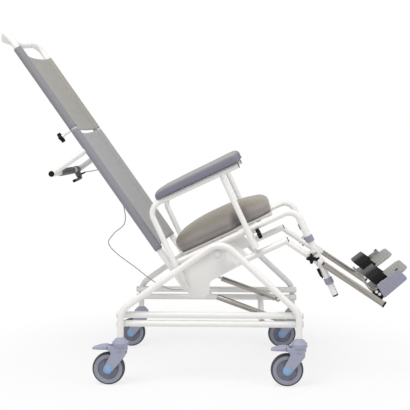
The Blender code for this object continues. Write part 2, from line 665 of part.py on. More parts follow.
def cushion_shape():
    """A crowned pad: rounded-rectangle rings that draw in at the waist and rise to the crown."""
    centre = (SEAT_REAR + SEAT_FRONT) / 2
    half_x = (SEAT_FRONT - SEAT_REAR) / 2
    half_y = CUSHION_WIDTH / 2
    around = 28
    crown = CUSHION_EDGE + CUSHION_CROWN
    rings = [(0.0, 0.94), (0.25, 0.985), (0.55, 1.0), (0.80, 0.985), (0.94, 0.93), (1.0, 0.84)]
    points = []
    for rise, size in rings:
        for k in range(around):
            a = 2 * math.pi * (k + 0.5) / around
            c, s = math.cos(a), math.sin(a)
            ex = math.copysign(abs(c) ** 0.42, c)
            ey = math.copysign(abs(s) ** 0.42, s)
            tuck = CUSHION_TUCK * (1 - abs(ex) ** 2) * abs(ey)
            x = centre + half_x * size * ex
            y = half_y * size * ey - math.copysign(tuck, s)
            points.append((x, y, CUSHION_BOTTOM + CUSHION_EDGE * rise))
    for shrink, lift in ((0.62, 0.55), (0.34, 0.88)):
        for k in range(around):
            a = 2 * math.pi * (k + 0.5) / around
            c, s = math.cos(a), math.sin(a)
            x = centre + half_x * shrink * math.copysign(abs(c) ** 0.6, c)
            y = half_y * shrink * math.copysign(abs(s) ** 0.6, s)
            points.append((x, y, CUSHION_BOTTOM + CUSHION_EDGE + CUSHION_CROWN * lift))
    levels = len(rings) + 2
    faces = [tuple(range(around))]
    for i in range(levels - 1):
        for k in range(around):
            n = (k + 1) % around
            faces.append((i * around + k, i * around + n, (i + 1) * around + n, (i + 1) * around + k))
    top = len(points)
    points.append((centre, 0, CUSHION_BOTTOM + crown))
    last = (levels - 1) * around
    faces += [(last + k, last + (k + 1) % around, top) for k in range(around)]
    return points, faces


def back_point(along, forward=0.0):
    """X and Z of a point a distance along the back frame, and a distance ahead of it."""
    lean = math.radians(BACK_LEAN_DEG)
    x = BACK_FOOT_X - along * math.sin(lean) + forward * math.cos(lean)
    z = BACK_FOOT_Z + along * math.cos(lean) + forward * math.sin(lean)
    return x, z


def back(seat, mats):
    """The welded back frame with its push bar, and the two fabric slings sleeved on its uprights."""
    corners = []
    crown = BACK_LENGTH + 0.010
    for y, along, forward in ((-SEAT_Y, 0, 0), (-SEAT_Y, BACK_LENGTH, 0), (-SEAT_Y * 0.45, crown, -HOOP_BOW),
                              (SEAT_Y * 0.45, crown, -HOOP_BOW), (SEAT_Y, BACK_LENGTH, 0), (SEAT_Y, 0, 0)):
        x, z = back_point(along, forward)
        corners.append((x, y, z))
    shapes = [tube(bend_path(corners, BACK_BEND), TUBE_DIAMETER)]
    start = back_point(PUSH_BAR_ALONG)
    end = back_point(PUSH_BAR_ALONG, -PUSH_ARM_LENGTH)
    clearances = []
    for sign in SIDES.values():
        y = sign * SEAT_Y
        shapes.append(rod((start[0], y, start[1]), (end[0], y, end[1]), PUSH_TUBE_DIAMETER))
        clearances.append(rod((start[0], y, start[1]), (end[0], y, end[1]), PUSH_TUBE_DIAMETER + 0.004))
    half = SEAT_Y + PUSH_BAR_OVERHANG
    shapes.append(rod((end[0], -half, end[1]), (end[0], half, end[1]), PUSH_TUBE_DIAMETER, 12))
    make_object("back_frame", shapes, mats["white_paint"], seat)

    upper_start = LOWER_SLING_START + LOWER_SLING_LENGTH + SLING_PARTING
    for name, start, length, cuts in (("back_sling_lower", LOWER_SLING_START, LOWER_SLING_LENGTH, clearances),
                                      ("back_sling_upper", upper_start, UPPER_SLING_LENGTH, ())):
        x, z = back_point(start)
        lean = Matrix.Rotation(math.radians(-BACK_LEAN_DEG), 4, "Y")
        matrix = Matrix.Translation((x, 0, z)) @ lean
        make_object(name, [turn_shape(sling_shape(length), matrix)], mats["sling_fabric"], seat, cuts)


def sling_shape(length):
    """A sling in section: a sleeve round each upright and a web that sags back between them."""
    web = SLING_THICKNESS / 2
    grip = math.degrees(math.asin(web / SLEEVE_RADIUS))
    steps = 8
    half = SEAT_Y - SLEEVE_RADIUS
    spans = [-half + 2 * half * i / steps for i in range(steps + 1)]

    def sag(y):
        return -SLING_SAG * math.cos(math.pi * y / (2 * half)) + web

    outline = []
    outline += [(sag(y) + web, y) for y in spans[1:-1]]
    outline += arc((0, SEAT_Y), SLEEVE_RADIUS, -90 + grip + 18, 270 - grip - 18, 11)
    outline += [(sag(y) - web, y) for y in reversed(spans[1:-1])]
    outline += arc((0, -SEAT_Y), SLEEVE_RADIUS, 90 + grip + 18, 450 - grip - 18, 11)
    holes = []
    for sign in SIDES.values():
        hole = arc((0, sign * SEAT_Y), (TUBE_R + GAP * 2) / FACET, 0, 330, 11)
        holes.append(hole)
    points, faces = plate(outline, 0, length, holes)
    # The section was drawn in X and Z and carried along Y: stand it up along Z.
    return [(p[0], p[2], p[1]) for p in points], faces


def push_bar_fittings(seat, mats):
    """The grip on the push bar, the release housing clamped on the bar and the release lever under it."""
    push_r = PUSH_TUBE_DIAMETER / 2
    bar = back_point(PUSH_BAR_ALONG, -PUSH_ARM_LENGTH)
    grip = ring((bar[0], 0, bar[1]), (0, 1, 0), push_r + GAP, GRIP_RADIUS, -GRIP_LENGTH / 2,
                GRIP_LENGTH / 2)
    make_object("push_grip", [grip], mats["grey_plastic"], seat)

    clamp_from = LEVER_PIVOT_Y - 0.024
    clamp_to = LEVER_PIVOT_Y + 0.012
    clamp = drum((bar[0], 0, bar[1]), (0, 1, 0), GRIP_RADIUS + 0.001, clamp_from, clamp_to)
    foot = bar[1] - LEVER_DROP
    block = plate([(bar[0] - 0.008, foot), (bar[0] + 0.008, foot), (bar[0] + 0.010, bar[1] - push_r),
                   (bar[0] - 0.010, bar[1] - push_r)], clamp_from + 0.001, clamp_to - 0.001)
    hole = bore((bar[0], 0, bar[1]), (0, 1, 0), push_r + 2 * GAP, clamp_from - 0.01, clamp_to + 0.01)
    make_object("release_housing", [clamp, block], mats["grey_plastic"], seat, [hole])
    pivot = make_empty("release_lever_pivot", (bar[0], LEVER_PIVOT_Y, foot - 0.004 - GAP), seat)
    relief = LEVER_PIVOT_Y - clamp_from
    blade = [(0.0, 0.004), (0.006, 0.004), (0.006, -0.004), (-LEVER_LENGTH * 0.3, -0.008),
             (-LEVER_LENGTH, -0.012), (-LEVER_LENGTH - 0.006, -0.006), (-LEVER_LENGTH, 0.000),
             (-relief - 0.018, 0.002), (-relief, 0.0)]
    points, faces = plate(blade, -0.007, 0.007)
    lever = ([(p[1], p[0], p[2]) for p in points], faces)
    make_object("release_lever", [lever], mats["black_plastic"], pivot)


def release_cable(seat, mats):
    """The release cable: from the lever housing, down behind the back in a free loop, to the spring."""
    housing = back_point(PUSH_BAR_ALONG, -PUSH_ARM_LENGTH)
    route = [
        (housing[0] + 0.0105, 0.185, housing[1] - 0.026),
        (housing[0] + 0.045, 0.180, housing[1] - 0.030),
        (-0.318, 0.172, 0.470),
        (-0.322, 0.168, 0.330),
        (-0.350, 0.166, 0.245),
        (-0.412, 0.165, 0.222),
        (-0.452, 0.164, 0.195),
        (-0.440, 0.164, 0.140),
        (-0.392, 0.165, 0.050),
        (-0.345, 0.168, -0.040),
        (-0.290, 0.174, -0.105),
        (-0.215, 0.192, -0.134),
        (-0.156, SIDE_PLATE_INNER_Y - CABLE_DIAMETER / 2 - GAP, -0.1090),
    ]
    cable = tube(smooth_path(route, 2), CABLE_DIAMETER, 6)
    make_object("release_cable", [cable], mats["cable_grey"], seat)


def smooth_path(points, steps):
    """A smooth curve through every point of a route."""
    points = [Vector(p) for p in points]
    padded = [points[0] * 2 - points[1], *points, points[-1] * 2 - points[-2]]
    path = []
    for a, b, c, d in zip(padded, padded[1:], padded[2:], padded[3:]):
        for i in range(steps):
            t = i / steps
            path.append(0.5 * (2 * b + (c - a) * t + (2 * a - 5 * b + 4 * c - d) * t ** 2
                               + (3 * b - a - 3 * c + d) * t ** 3))
    path.append(points[-1])
    return path


def armrests(seat, mats):
    """Lift-out armrests in the sockets of the seat frames, with their pads and clamp knobs."""
    arm_r = ARM_TUBE_DIAMETER / 2
    foot = SOCKET_BOTTOM + SOCKET_HEIGHT - SOCKET_INSERT
    for side, sign in SIDES.items():
        y = sign * ARM_Y
        lift = make_empty(f"armrest_lift_{side}", (0, 0, 0), seat)
        corners = [(ARM_REAR_POST_X, y, foot), (ARM_REAR_POST_X, y, ARM_TOP_Z), (ARM_FRONT, y, ARM_TOP_Z)]
        path = bend_path(corners, ARM_BEND)
        post = rod((ARM_FRONT_POST_X, y, foot), (ARM_FRONT_POST_X, y, ARM_TOP_Z), ARM_TUBE_DIAMETER, 12)
        make_object(f"armrest_tube_{side}", [tube(path, ARM_TUBE_DIAMETER), post], mats["white_paint"], lift)
        make_object(f"armrest_pad_{side}", [arm_pad_shape(y)], mats["grey_plastic"], lift)
        stud = 0.012
        knob_back = ARM_FRONT_POST_X + SOCKET_RADIUS + GAP + stud
        knob_z = SOCKET_BOTTOM + SOCKET_HEIGHT * 0.55
        turn = make_empty(f"armrest_knob_axis_{side}", (knob_back, y, knob_z), seat)
        knob = star_knob((0, 0, 0), (1, 0, 0), stud)
        make_object(f"armrest_knob_{side}", knob, mats["black_plastic"], turn)


def arm_pad_shape(y):
    """A moulded arm pad: rounded section, thin round tail, full front with a slight lip."""
    bottom = ARM_TOP_Z + ARM_TUBE_DIAMETER / 2 + GAP
    sections = [(0.0, 0.30, 0.30), (0.025, 0.62, 0.62), (0.08, 0.84, 0.80), (0.20, 0.98, 0.94),
                (0.55, 1.0, 1.0), (0.88, 1.0, 1.06), (0.965, 0.94, 1.02), (1.0, 0.66, 0.72)]
    around = 14
    points = []
    for along, wide, high in sections:
        x = ARM_PAD_REAR + ARM_PAD_LENGTH * along
        for k in range(around):
            a = 2 * math.pi * (k + 0.5) / around
            c, s = math.cos(a), math.sin(a)
            oy = math.copysign(abs(c) ** 0.6, c) * ARM_PAD_WIDTH / 2 * wide
            rise = (1 + math.copysign(abs(s) ** 0.55, s)) / 2
            points.append((x, y + oy, bottom + ARM_PAD_HEIGHT * high * rise))
    faces = [tuple(range(around)), tuple(range(len(points) - around, len(points)))]
    for i in range(len(sections) - 1):
        for k in range(around):
            n = (k + 1) % around
            faces.append((i * around + k, i * around + n, (i + 1) * around + n, (i + 1) * around + k))
    return points, faces


def back_knobs(seat, mats):
    """Clamp knobs behind the uprights, on studs square to the back."""
    lean = math.radians(BACK_LEAN_DEG)
    for side, sign in SIDES.items():
        stud = 0.040
        x, z = back_point(BACK_KNOB_ALONG, -TUBE_R - GAP - stud)
        turn = make_empty(f"back_knob_axis_{side}", (x, sign * SEAT_Y, z), seat)
        knob = star_knob((0, 0, 0), (-math.cos(lean), 0, -math.sin(lean)), stud)
        make_object(f"back_knob_{side}", knob, mats["black_plastic"], turn)


def leg_rest(side, sign, seat, mats):
    """One leg rest: the arm and its lock sector on the hanger pin, the lock knob, latch and foot tray."""
    pivot = make_empty(f"leg_pivot_{side}", (HANGER_X, 0, LEG_PIVOT_Z), seat)
    drop = math.radians(LEG_DROP_DEG)
    along = Vector((math.cos(drop), 0, -math.sin(drop)))
    knob_z = strut_height(LOCK_KNOB_X)
    y = sign * FOOT_ARM_Y
    start = along * FOOT_ARM_START
    end = along * FOOT_ARM_LENGTH
    arm = rod((start.x, y, start.z), (end.x, y, end.z), FOOT_ARM_DIAMETER)
    sector = sector_plate((LOCK_KNOB_X - HANGER_X, knob_z - LEG_PIVOT_Z), sign)
    make_object(f"foot_arm_{side}", [sector, arm], mats["stainless"], pivot)

    rise = math.radians(TOE_RISE_DEG)
    toe = Vector((math.cos(rise), 0, math.sin(rise)))
    up = Vector((-math.sin(rise), 0, math.cos(rise)))
    rear_top = along * (FOOT_ARM_LENGTH - BRACKET_ABOVE_END) + toe * BRACKET_REACH
    outline = []
    for ahead, above in ((0.0, 0.0), (BRACKET_LENGTH, 0.0), (BRACKET_LENGTH + 0.004, -BRACKET_HEIGHT),
                         (0.016, -BRACKET_HEIGHT - 0.004), (-0.012, -BRACKET_HEIGHT - 0.014),
                         (-0.050, -BRACKET_HEIGHT * 0.95), (-0.066, -BRACKET_HEIGHT * 0.45), (-0.056, -0.006)):
        corner = rear_top + toe * ahead + up * above
        outline.append((corner.x, corner.z))
    half = FOOT_ARM_DIAMETER / 2 + 0.004
    hole = rod((0, y, 0), (along.x * 0.5, y, along.z * 0.5), (FOOT_ARM_DIAMETER + 2 * GAP) / FACET)
    bracket = plate(outline, y - half, y + half)
    make_object(f"foot_bracket_{side}", [bracket], mats["grey_plastic"], pivot, [hole])

    hinge_y = y + sign * FOOTPLATE_EDGE
    hinge = make_empty(f"footplate_hinge_{side}", rear_top + up * GAP + Vector((0, hinge_y, 0)), pivot)
    frame = Matrix.Rotation(-rise, 4, "Y")
    tray = [turn_shape(shape, frame) for shape in footplate_shapes(sign)]
    make_object(f"footplate_{side}", tray, mats["grey_plastic"], hinge)
    strap = turn_shape(strap_shape(sign), frame)
    make_object(f"foot_strap_{side}", [strap], mats["black_webbing"], hinge)

    knob_y = SECTOR_OUTER_Y + 0.002
    turn = make_empty(f"leg_knob_axis_{side}", (LOCK_KNOB_X, sign * knob_y, knob_z), seat)
    stud = knob_y - SEAT_Y - STRUT_DIAMETER / 2 - GAP
    knob = star_knob((0, 0, 0), (0, sign, 0), stud)
    make_object(f"leg_knob_{side}", knob, mats["black_plastic"], turn)

    latch_at = (HANGER_X - TUBE_R - 0.006, sign * SEAT_Y, LEG_PIVOT_Z - 0.030)
    latch = make_empty(f"latch_axis_{side}", latch_at, seat)
    outline = arc((0, 0), 0.006 - GAP, 0, 180, 4)
    outline += [(-0.005, -LATCH_LENGTH * 0.6), (0.001, -LATCH_LENGTH), (0.0045, -LATCH_LENGTH * 0.9)]
    make_object(f"leg_latch_{side}", [plate(outline, -0.006, 0.006)], mats["black_plastic"], latch)


def sector_plate(knob, sign):
    """The lock sector: a disc on the pin, a fan with an arc slot for the lock stud, and an arm lug."""
    stud_deg = math.degrees(math.atan2(knob[1], knob[0]))
    slot_r = math.hypot(*knob)
    low = stud_deg - SECTOR_SWEEP_DEG
    drop = math.radians(LEG_DROP_DEG)
    along = Vector((math.cos(drop), -math.sin(drop)))
    across = Vector((math.sin(drop), math.cos(drop)))
    lug_end = 0.062
    lug_half = 0.011
    outline = arc((0, 0), SECTOR_RADIUS, low - 14, stud_deg + 14, 8)
    outline += arc((0, 0), 0.018, stud_deg + 40, 250, 3)
    outline += [tuple(along * lug_end - across * lug_half), tuple(along * lug_end + across * lug_half)]
    outline += arc((0, 0), 0.018, -5, 20, 2)
    slot_half = STUD_DIAMETER / 2 + SLIDE_CLEARANCE
    slot_ends = [arc((0, 0), slot_r, end, end, 1)[0] for end in (stud_deg, low)]
    slot = arc((0, 0), slot_r + slot_half, low, stud_deg, 8)
    slot += arc(slot_ends[0], slot_half, stud_deg + 45, stud_deg + 135, 2)
    slot += arc((0, 0), slot_r - slot_half, stud_deg, low, 8)
    slot += arc(slot_ends[1], slot_half, low + 225, low + 315, 2)
    pin = arc((0, 0), LEG_PIN_DIAMETER / 2 + GAP, 0, 330, 11)
    return plate(outline, sign * SECTOR_INNER_Y, sign * SECTOR_OUTER_Y, [slot, pin])


def footplate_shapes(sign):
    """A foot tray with round toe corners and a raised heel rim, level, its outer edge over the hinge."""
    outer = 0.0
    inner = outer - FOOTPLATE_WIDTH
    heel = -FOOTPLATE_HEEL_BACK
    toe = heel + FOOTPLATE_LENGTH
    r = FOOTPLATE_CORNER
    flat = [(heel, outer - 0.010), (heel, inner + 0.010), (heel + 0.012, inner)]
    flat += arc((toe - r, inner + r), r, -90, 0, 5)
    flat += arc((toe - r, outer - r), r, 0, 90, 5)
    flat += [(heel + 0.012, outer)]
    points, faces = plate(flat, 0, FOOTPLATE_THICKNESS)
    tray = ([(p[0], sign * p[2], p[1]) for p in points], faces)
    wall = FOOTPLATE_THICKNESS * 0.6
    low = FOOTPLATE_THICKNESS * 0.4
    high = FOOTPLATE_THICKNESS + HEEL_RIM
    rim = [(heel + 0.001, low), (heel + 0.001 + wall, low), (heel + wall - 0.001, high), (heel - 0.004, high)]
    points, faces = plate(rim, inner + 0.012, outer - 0.012)
    return [tray, ([(p[0], sign * p[1], p[2]) for p in points], faces)]


def strap_shape(sign):
    """A webbing strap that arches over the tray from edge to edge, behind the instep."""
    half = (FOOTPLATE_WIDTH - 0.030) / 2
    middle = -FOOTPLATE_WIDTH / 2
    base = FOOTPLATE_THICKNESS + GAP
    steps = 14
    outside = []
    inside = []
    for i in range(steps + 1):
        a = math.pi * i / steps
        c, s = math.cos(a), math.sin(a)
        wide = math.copysign(abs(c) ** 0.5, c)
        high = s ** 0.6
        outside.append((middle + half * wide, base + STRAP_HEIGHT * high))
        inside.append((middle + (half - STRAP_THICKNESS) * wide,
                       base + (STRAP_HEIGHT - STRAP_THICKNESS) * high))
    points, faces = plate(outside + inside[::-1], 0, STRAP_WIDTH)
    return [(p[1] - 0.012 - 0.3 * (p[2] - base), sign * p[0], p[2]) for p in points], faces


def leg_pin(sign):
    """The headed pin, welded to the hanger tube, that a leg rest turns on."""
    r = LEG_PIN_DIAMETER / 2
    profile = [(0, SEAT_Y), (r, SEAT_Y), (r, SECTOR_OUTER_Y + GAP), (r * 1.6, SECTOR_OUTER_Y + GAP),
               (r * 1.4, SECTOR_OUTER_Y + 0.006), (0, SECTOR_OUTER_Y + 0.006)]
    return turned(profile, (HANGER_X, 0, LEG_PIVOT_Z), (0, sign, 0), 14)


def gas_springs(root, mats):
    """Two gas springs between the base and the side plates: cylinders on the base, rods to the lugs."""
    tilt = math.radians(REST_TILT_DEG)
    lug_x = PIVOT_X + SPRING_LUG_X * math.cos(tilt) - SPRING_LUG_Z * math.sin(tilt)
    lug_z = PIVOT_HEIGHT + SPRING_LUG_X * math.sin(tilt) + SPRING_LUG_Z * math.cos(tilt)
    foot = Vector((SPRING_FOOT_X, 0, SPRING_FOOT_HEIGHT))
    reach = Vector((lug_x, 0, lug_z)) - foot
    length = reach.length
    axis = reach.normalized()
    swing = make_empty("spring_foot_axis", foot, root)
    slide = make_empty("spring_rod_slide", (0, 0, 0), swing)
    pin_r = SPRING_PIN_DIAMETER / 2
    r = CYLINDER_DIAMETER / 2
    rod_r = ROD_DIAMETER / 2
    base = FOOT_EYE_RADIUS - WELD * 1.5
    end = base + CYLINDER_LENGTH
    gland = rod_r + SLIDE_CLEARANCE
    inside = r - CYLINDER_WALL
    shell = [(0, base), (r * 0.6, base), (r, base + 0.008), (r, end - 0.004), (r * 0.86, end), (gland, end),
             (gland, end - 0.010), (inside, end - 0.014), (inside, base + 0.012), (0, base + 0.012)]
    rod_end = length - ROD_EYE_RADIUS + WELD * 1.5
    shaft = [(0, base + 0.060), (rod_r, base + 0.060), (rod_r, rod_end - 0.014),
             (rod_r * 1.3, rod_end - 0.014), (rod_r * 1.3, rod_end), (0, rod_end)]
    half = EYE_WIDTH / 2
    for side, sign in SIDES.items():
        y = sign * SPRING_Y
        eye = drum((0, y, 0), (0, 1, 0), FOOT_EYE_RADIUS, -half, half)
        hole = bore((0, y, 0), (0, 1, 0), pin_r + 2 * GAP, -half - 0.01, half + 0.01)
        cylinder = turned(shell, (0, y, 0), axis, 12)
        make_object(f"gas_cylinder_{side}", [cylinder, eye], mats["stainless"], swing, [hole])
        eye = drum((reach.x, y, reach.z), (0, 1, 0), ROD_EYE_RADIUS, -half, half)
        hole = bore((reach.x, y, reach.z), (0, 1, 0), pin_r + ROD_EYE_PLAY, -half - 0.01, half + 0.01)
        piston = turned(shaft, (0, y, 0), axis, 10)
        make_object(f"gas_rod_{side}", [piston, eye], mats["stainless"], slide, [hole])


def stand_on_floor(root):
    """Moves the chair so that its box is centred over the origin and its wheels stand on the floor."""
    bpy.context.view_layer.update()
    corners = []
    for obj in bpy.data.objects:
        if obj.type == "MESH" and not obj.hide_render:
            corners += [obj.matrix_world @ v.co for v in obj.data.vertices]
    low_x = min(c.x for c in corners)
    high_x = max(c.x for c in corners)
    low_z = min(c.z for c in corners)
    root.location = (-(low_x + high_x) / 2, 0, -low_z)
    bpy.context.view_layer.update()


def main():
    clear_scene()
    mats = make_materials()
    root = make_empty("chair")
    base_frame(root, mats)
    for end, x in (("rear", -LEG_X), ("front", LEG_X)):
        for side, sign in SIDES.items():
            castor(f"{end}_{side}", x, sign, root, mats)
    seat = make_empty("seat_tilt", (PIVOT_X, 0, PIVOT_HEIGHT), root)
    seat.rotation_euler = (0, math.radians(-REST_TILT_DEG), 0)
    seat_frame(seat, mats)
    seat_pad(seat, mats)
    back(seat, mats)
    push_bar_fittings(seat, mats)
    release_cable(seat, mats)
    armrests(seat, mats)
    back_knobs(seat, mats)
    for side, sign in SIDES.items():
        leg_rest(side, sign, seat, mats)
    gas_springs(root, mats)
    stand_on_floor(root)


main()
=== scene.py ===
"""Looks of a tilt-in-space shower chair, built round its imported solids.

Every piece is a surface worked out from the sizes below, in metres, in the frame of the solids.
The seat unit is written level, with its tilt pivot at the origin, and seat_place tips it back.
"""

import json
import math

import bmesh
import bpy
import numpy as np
from bpy.props import FloatProperty, FloatVectorProperty, IntProperty, PointerProperty
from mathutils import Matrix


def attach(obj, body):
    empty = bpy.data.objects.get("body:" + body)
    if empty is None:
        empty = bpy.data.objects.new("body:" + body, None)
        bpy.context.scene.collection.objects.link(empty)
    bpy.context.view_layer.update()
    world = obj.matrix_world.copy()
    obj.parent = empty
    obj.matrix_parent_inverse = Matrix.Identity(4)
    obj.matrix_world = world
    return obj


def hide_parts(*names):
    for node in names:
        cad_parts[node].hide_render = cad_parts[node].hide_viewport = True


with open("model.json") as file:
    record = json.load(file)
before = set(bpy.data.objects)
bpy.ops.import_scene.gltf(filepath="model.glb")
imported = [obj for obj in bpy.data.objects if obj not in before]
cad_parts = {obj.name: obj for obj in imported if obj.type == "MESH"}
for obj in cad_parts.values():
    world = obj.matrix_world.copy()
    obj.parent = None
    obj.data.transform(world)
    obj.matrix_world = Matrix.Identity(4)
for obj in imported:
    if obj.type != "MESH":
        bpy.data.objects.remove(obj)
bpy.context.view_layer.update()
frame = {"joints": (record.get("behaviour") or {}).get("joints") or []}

bl_info = {
    "name": "Shower chair looks",
    "version": (1, 0, 0),
    "blender": (4, 5, 0),
    "location": "View3D > Sidebar > Shower chair",
    "description": "Builds the visible pieces and finishes of a reclining shower chair",
    "category": "Object",
}

JOINTS = {joint["name"]: joint for joint in frame["joints"]}
SIDES = {"right": -1.0, "left": 1.0}
CASTORS = ("front_right", "front_left", "rear_right", "rear_left")
ORIGIN = (0, 0, 0)
FORWARD = np.array((1.0, 0.0, 0.0))
ACROSS = np.array((0.0, 1.0, 0.0))
UPWARD = np.array((0.0, 0.0, 1.0))

# Places and sizes that the solids have too: first the base
PIVOT = np.array(JOINTS["seat_tilt"]["pos_m"])
TILT = math.radians(25.0)
TUBE_R, THIN_TUBE_R = 0.0125, 0.011
LEG_X = 0.337
ARCH_Y = 0.285
RAIL_Y = 0.262
LOWER_RAIL, UPPER_RAIL, RAIL_END = 0.228, 0.261, 0.352
LEG_BOTTOM = 0.179
REAR_BEND, FRONT_BEND, ARCH_BEND = 0.280, 0.275, 0.072
APEX = (0.044, 0.550)
BASE_TIE_X = 0.196
PIVOT_X, PIVOT_Z = 0.030, 0.494
GUSSET_Y = (0.2705, 0.2755)
SPRING_PLATE_Y = (0.2475, 0.2525)
SPRING_Y = 0.2055
SPRING_FOOT = np.array((0.271, 0.0, 0.231))
SPRING_LUG = (-0.111, -0.122)

# The seat's frame and the leg rests
SIDE_PLATE_Y = (0.213, 0.218)
SEAT_Y = 0.2275
SEAT_RAIL = 0.031
HANGER_X, HANGER_END, HANGER_BEND = 0.338, -0.331, 0.048
HANGER_COLLAR, HANGER_BAND = -0.273, -0.096
LOWER_SEAT_RAIL, LOWER_RAIL_START, LOWER_RAIL_END = -0.067, 0.040, 0.262
STRUT_X = 0.254
LEG_DROP = math.radians(58.6)
LEG_PIVOT = (0.338, -0.189)
LEG_KNOB_X = 0.3135
SECTOR_Y = (0.2415, 0.2465)
FOOT_ARM_Y, FOOT_ARM_HALF = 0.2545, 0.0082
FOOT_ARM_END = 0.289
TOE_RISE = math.radians(13.0)
TRAY_DROP = 0.023

# The armrests, the back and the cushion
ARM_Y = 0.2521
ARM_TOP, ARM_FOOT, ARM_FRONT = 0.272, -0.008, 0.212
SOCKETS = (-0.165, 0.140)
BACK_FOOT = (-0.168, -0.075)
BACK_LEAN = math.radians(10.0)
BACK_LENGTH = 1.200
PUSH_ALONG, PUSH_REACH, PUSH_R = 0.655, 0.168, 0.0115
PUSH_BAR_HALF = SEAT_Y + 0.016
LOWER_SLING, UPPER_SLING = (0.185, 0.7445), (0.7515, 1.121)
SLEEVE_R, SLEEVE_TURN = 0.0153, 340
SLEEVE_LAP = np.array(((0.0036, 0.0175), (0.0018, 0.0205), (0.0006, 0.0240), (-0.0006, 0.0285)))
SLEEVE_CUT = SLEEVE_R * math.radians(SLEEVE_TURN) + 0.016
CUSHION_FLOOR = 0.0521
CUSHION_MIDDLE, CUSHION_HALF = 0.053, (0.217, 0.220)
# the opening in the cushion's right side: its middle, half width and depth, and the distance from the
# chair's middle where it ends
NOTCH_AT, NOTCH_WIDTH, NOTCH_DEPTH, NOTCH_END = 0.119, 0.027, 0.064, 0.03
CABLE_WIDTH = 0.004

# The stage
SENSOR_WIDTH = 36.0
CAMERA_SHIFT = (-0.0545, -0.068)
LIT_POINT = np.array((0.0, 0.0, 0.55))
# each lamp's place, its share of the key light's power, and its size
LAMPS = {"key": ((-1.2, -1.6, 3.4), 1.0, 2.2), "fill": ((2.4, -1.2, 2.2), 0.35, 2.0)}
LAMP_COLOUR = (1.0, 0.975, 0.93)
SKY_COLOUR = (0.97, 0.965, 1.0, 1)
WHITE = (1, 1, 1, 1)


# Settings

def colour_setting(name, description, default):
    """A colour that a user may change."""
    return FloatVectorProperty(name=name, description=description, subtype="COLOR",
                               default=default, min=0, max=1)


def number_setting(name, description, default, low, high, unit="NONE"):
    """A number that a user may change, between its lowest and highest value."""
    return FloatProperty(name=name, description=description, default=default, min=low, max=high, unit=unit)


class ChairFinish(bpy.types.PropertyGroup):
    """Colours of the chair's finishes."""
    paint: colour_setting("Paint", "Powder coat of the frame tubes", (0.845, 0.84, 0.825))
    steel: colour_setting("Steel", "Stainless arms, springs and bolts", (0.36, 0.335, 0.31))
    black: colour_setting("Black plastic", "Knobs, plugs, latches and the lever", (0.006, 0.006, 0.007))
    fork: colour_setting("Castor grey", "Moulded castor forks and pedals", (0.335, 0.355, 0.465))
    tyre: colour_setting("Tyre", "Rubber tread of the castors", (0.040, 0.042, 0.052))
    rim: colour_setting("Rim", "Wheel centres", (0.265, 0.28, 0.36))
    cap: colour_setting("Hub cap", "Caps on the castor axles", (0.22, 0.42, 0.68))
    pad: colour_setting("Arm pad", "Moulded foam of the arm pads", (0.32, 0.315, 0.315))
    cushion: colour_setting("Cushion", "Vinyl cover of the seat", (0.295, 0.265, 0.22))
    sling: colour_setting("Sling", "Fabric of the back", (0.35, 0.343, 0.32))
    tray: colour_setting("Footplate", "Foot trays", (0.31, 0.308, 0.295))
    # painted shade: a violet grey for the sides of the arm pads and cushion and the sling's sleeves, where
    # weaker bluish light falls; brightened, it also colours the brackets and hanger collars
    shade: colour_setting("Side shade", "Violet grey of sides, sleeves and brackets", (0.180, 0.184, 0.236))
    webbing: colour_setting("Webbing", "Foot straps", (0.005, 0.005, 0.007))


class ChairSizes(bpy.types.PropertyGroup):
    """Sizes of the visible details."""
    tube_sides: IntProperty(name="Tube sides", description="Points round each bent tube",
                            default=32, min=12, max=96)
    weave_pitch: number_setting("Weave pitch", "Distance between threads of the back fabric",
                                0.0022, 0.0005, 0.01, "LENGTH")
    sling_sag: number_setting("Sling sag", "How far the back fabric hangs behind the uprights",
                              0.020, 0, 0.05, "LENGTH")
    swell_limit: number_setting("Swell limit", "How far the seat cover may swell", 0.008, 0, 0.03, "LENGTH")
    swell_pressure: number_setting("Swell pressure", "Pressure inside the seat cover", 4.0, 0, 20)
    remesh: number_setting("Cushion mesh", "Size of the cushion's mesh before it is smoothed",
                           0.006, 0.003, 0.02, "LENGTH")


class ChairStage(bpy.types.PropertyGroup):
    """Floor, light and camera."""
    floor: colour_setting("Floor", "Colour of the floor", (0.90, 0.90, 0.905))
    sky_light: number_setting("Soft light", "Strength of the even light from all round", 0.46, 0, 3)
    key_light: number_setting("Key light", "Power of the large lamp", 82.0, 0, 2000, "POWER")
    camera_at: FloatVectorProperty(name="Camera", description="Place of the camera", subtype="TRANSLATION",
                                   default=(0.2132, -3.2775, 0.928))
    lens: number_setting("Lens", "Focal length", 70.6, 10, 300, "CAMERA")
    pitch: number_setting("Pitch", "Degrees that the camera looks down", 2.715, -45, 45)
    yaw: number_setting("Yaw", "Degrees that the camera turns to the left", 1.916, -45, 45)


# Shapes: a shape is its points, its four-sided faces and its many-sided end faces

def unit(vectors):
    """Vectors of length one along those given."""
    return vectors / np.linalg.norm(vectors, axis=-1, keepdims=True)


def full_turn(count):
    """Angles spread evenly round a circle."""
    return np.linspace(0, 2 * np.pi, count, endpoint=False)


def signed_power(values, power):
    """Values raised to a power, with their signs kept."""
    return np.sign(values) * np.abs(values) ** power


def smoothstep(t):
    """From 0 to 1 with level ends: three times the square less twice the cube."""
    return t * t * (3 - 2 * t)


def square_axes(axis):
    """An axis at length one, the upright direction less its share along the axis (or X, where the axis is
    itself upright), and the direction square to both."""
    axis = unit(np.asarray(axis, float))
    first = UPWARD if abs(axis[2]) < 0.9 else FORWARD
    first = unit(first - axis * (first @ axis))
    return axis, first, np.cross(axis, first)


def seat_place(points):
    """Points of the level seat frame, turned by the tilt about the pivot and carried to its place."""
    points = np.asarray(points, float)
    c, s = math.cos(TILT), math.sin(TILT)
    return np.stack([PIVOT[0] + points[..., 0] * c - points[..., 2] * s, points[..., 1],
                     PIVOT[2] + points[..., 0] * s + points[..., 2] * c], -1)


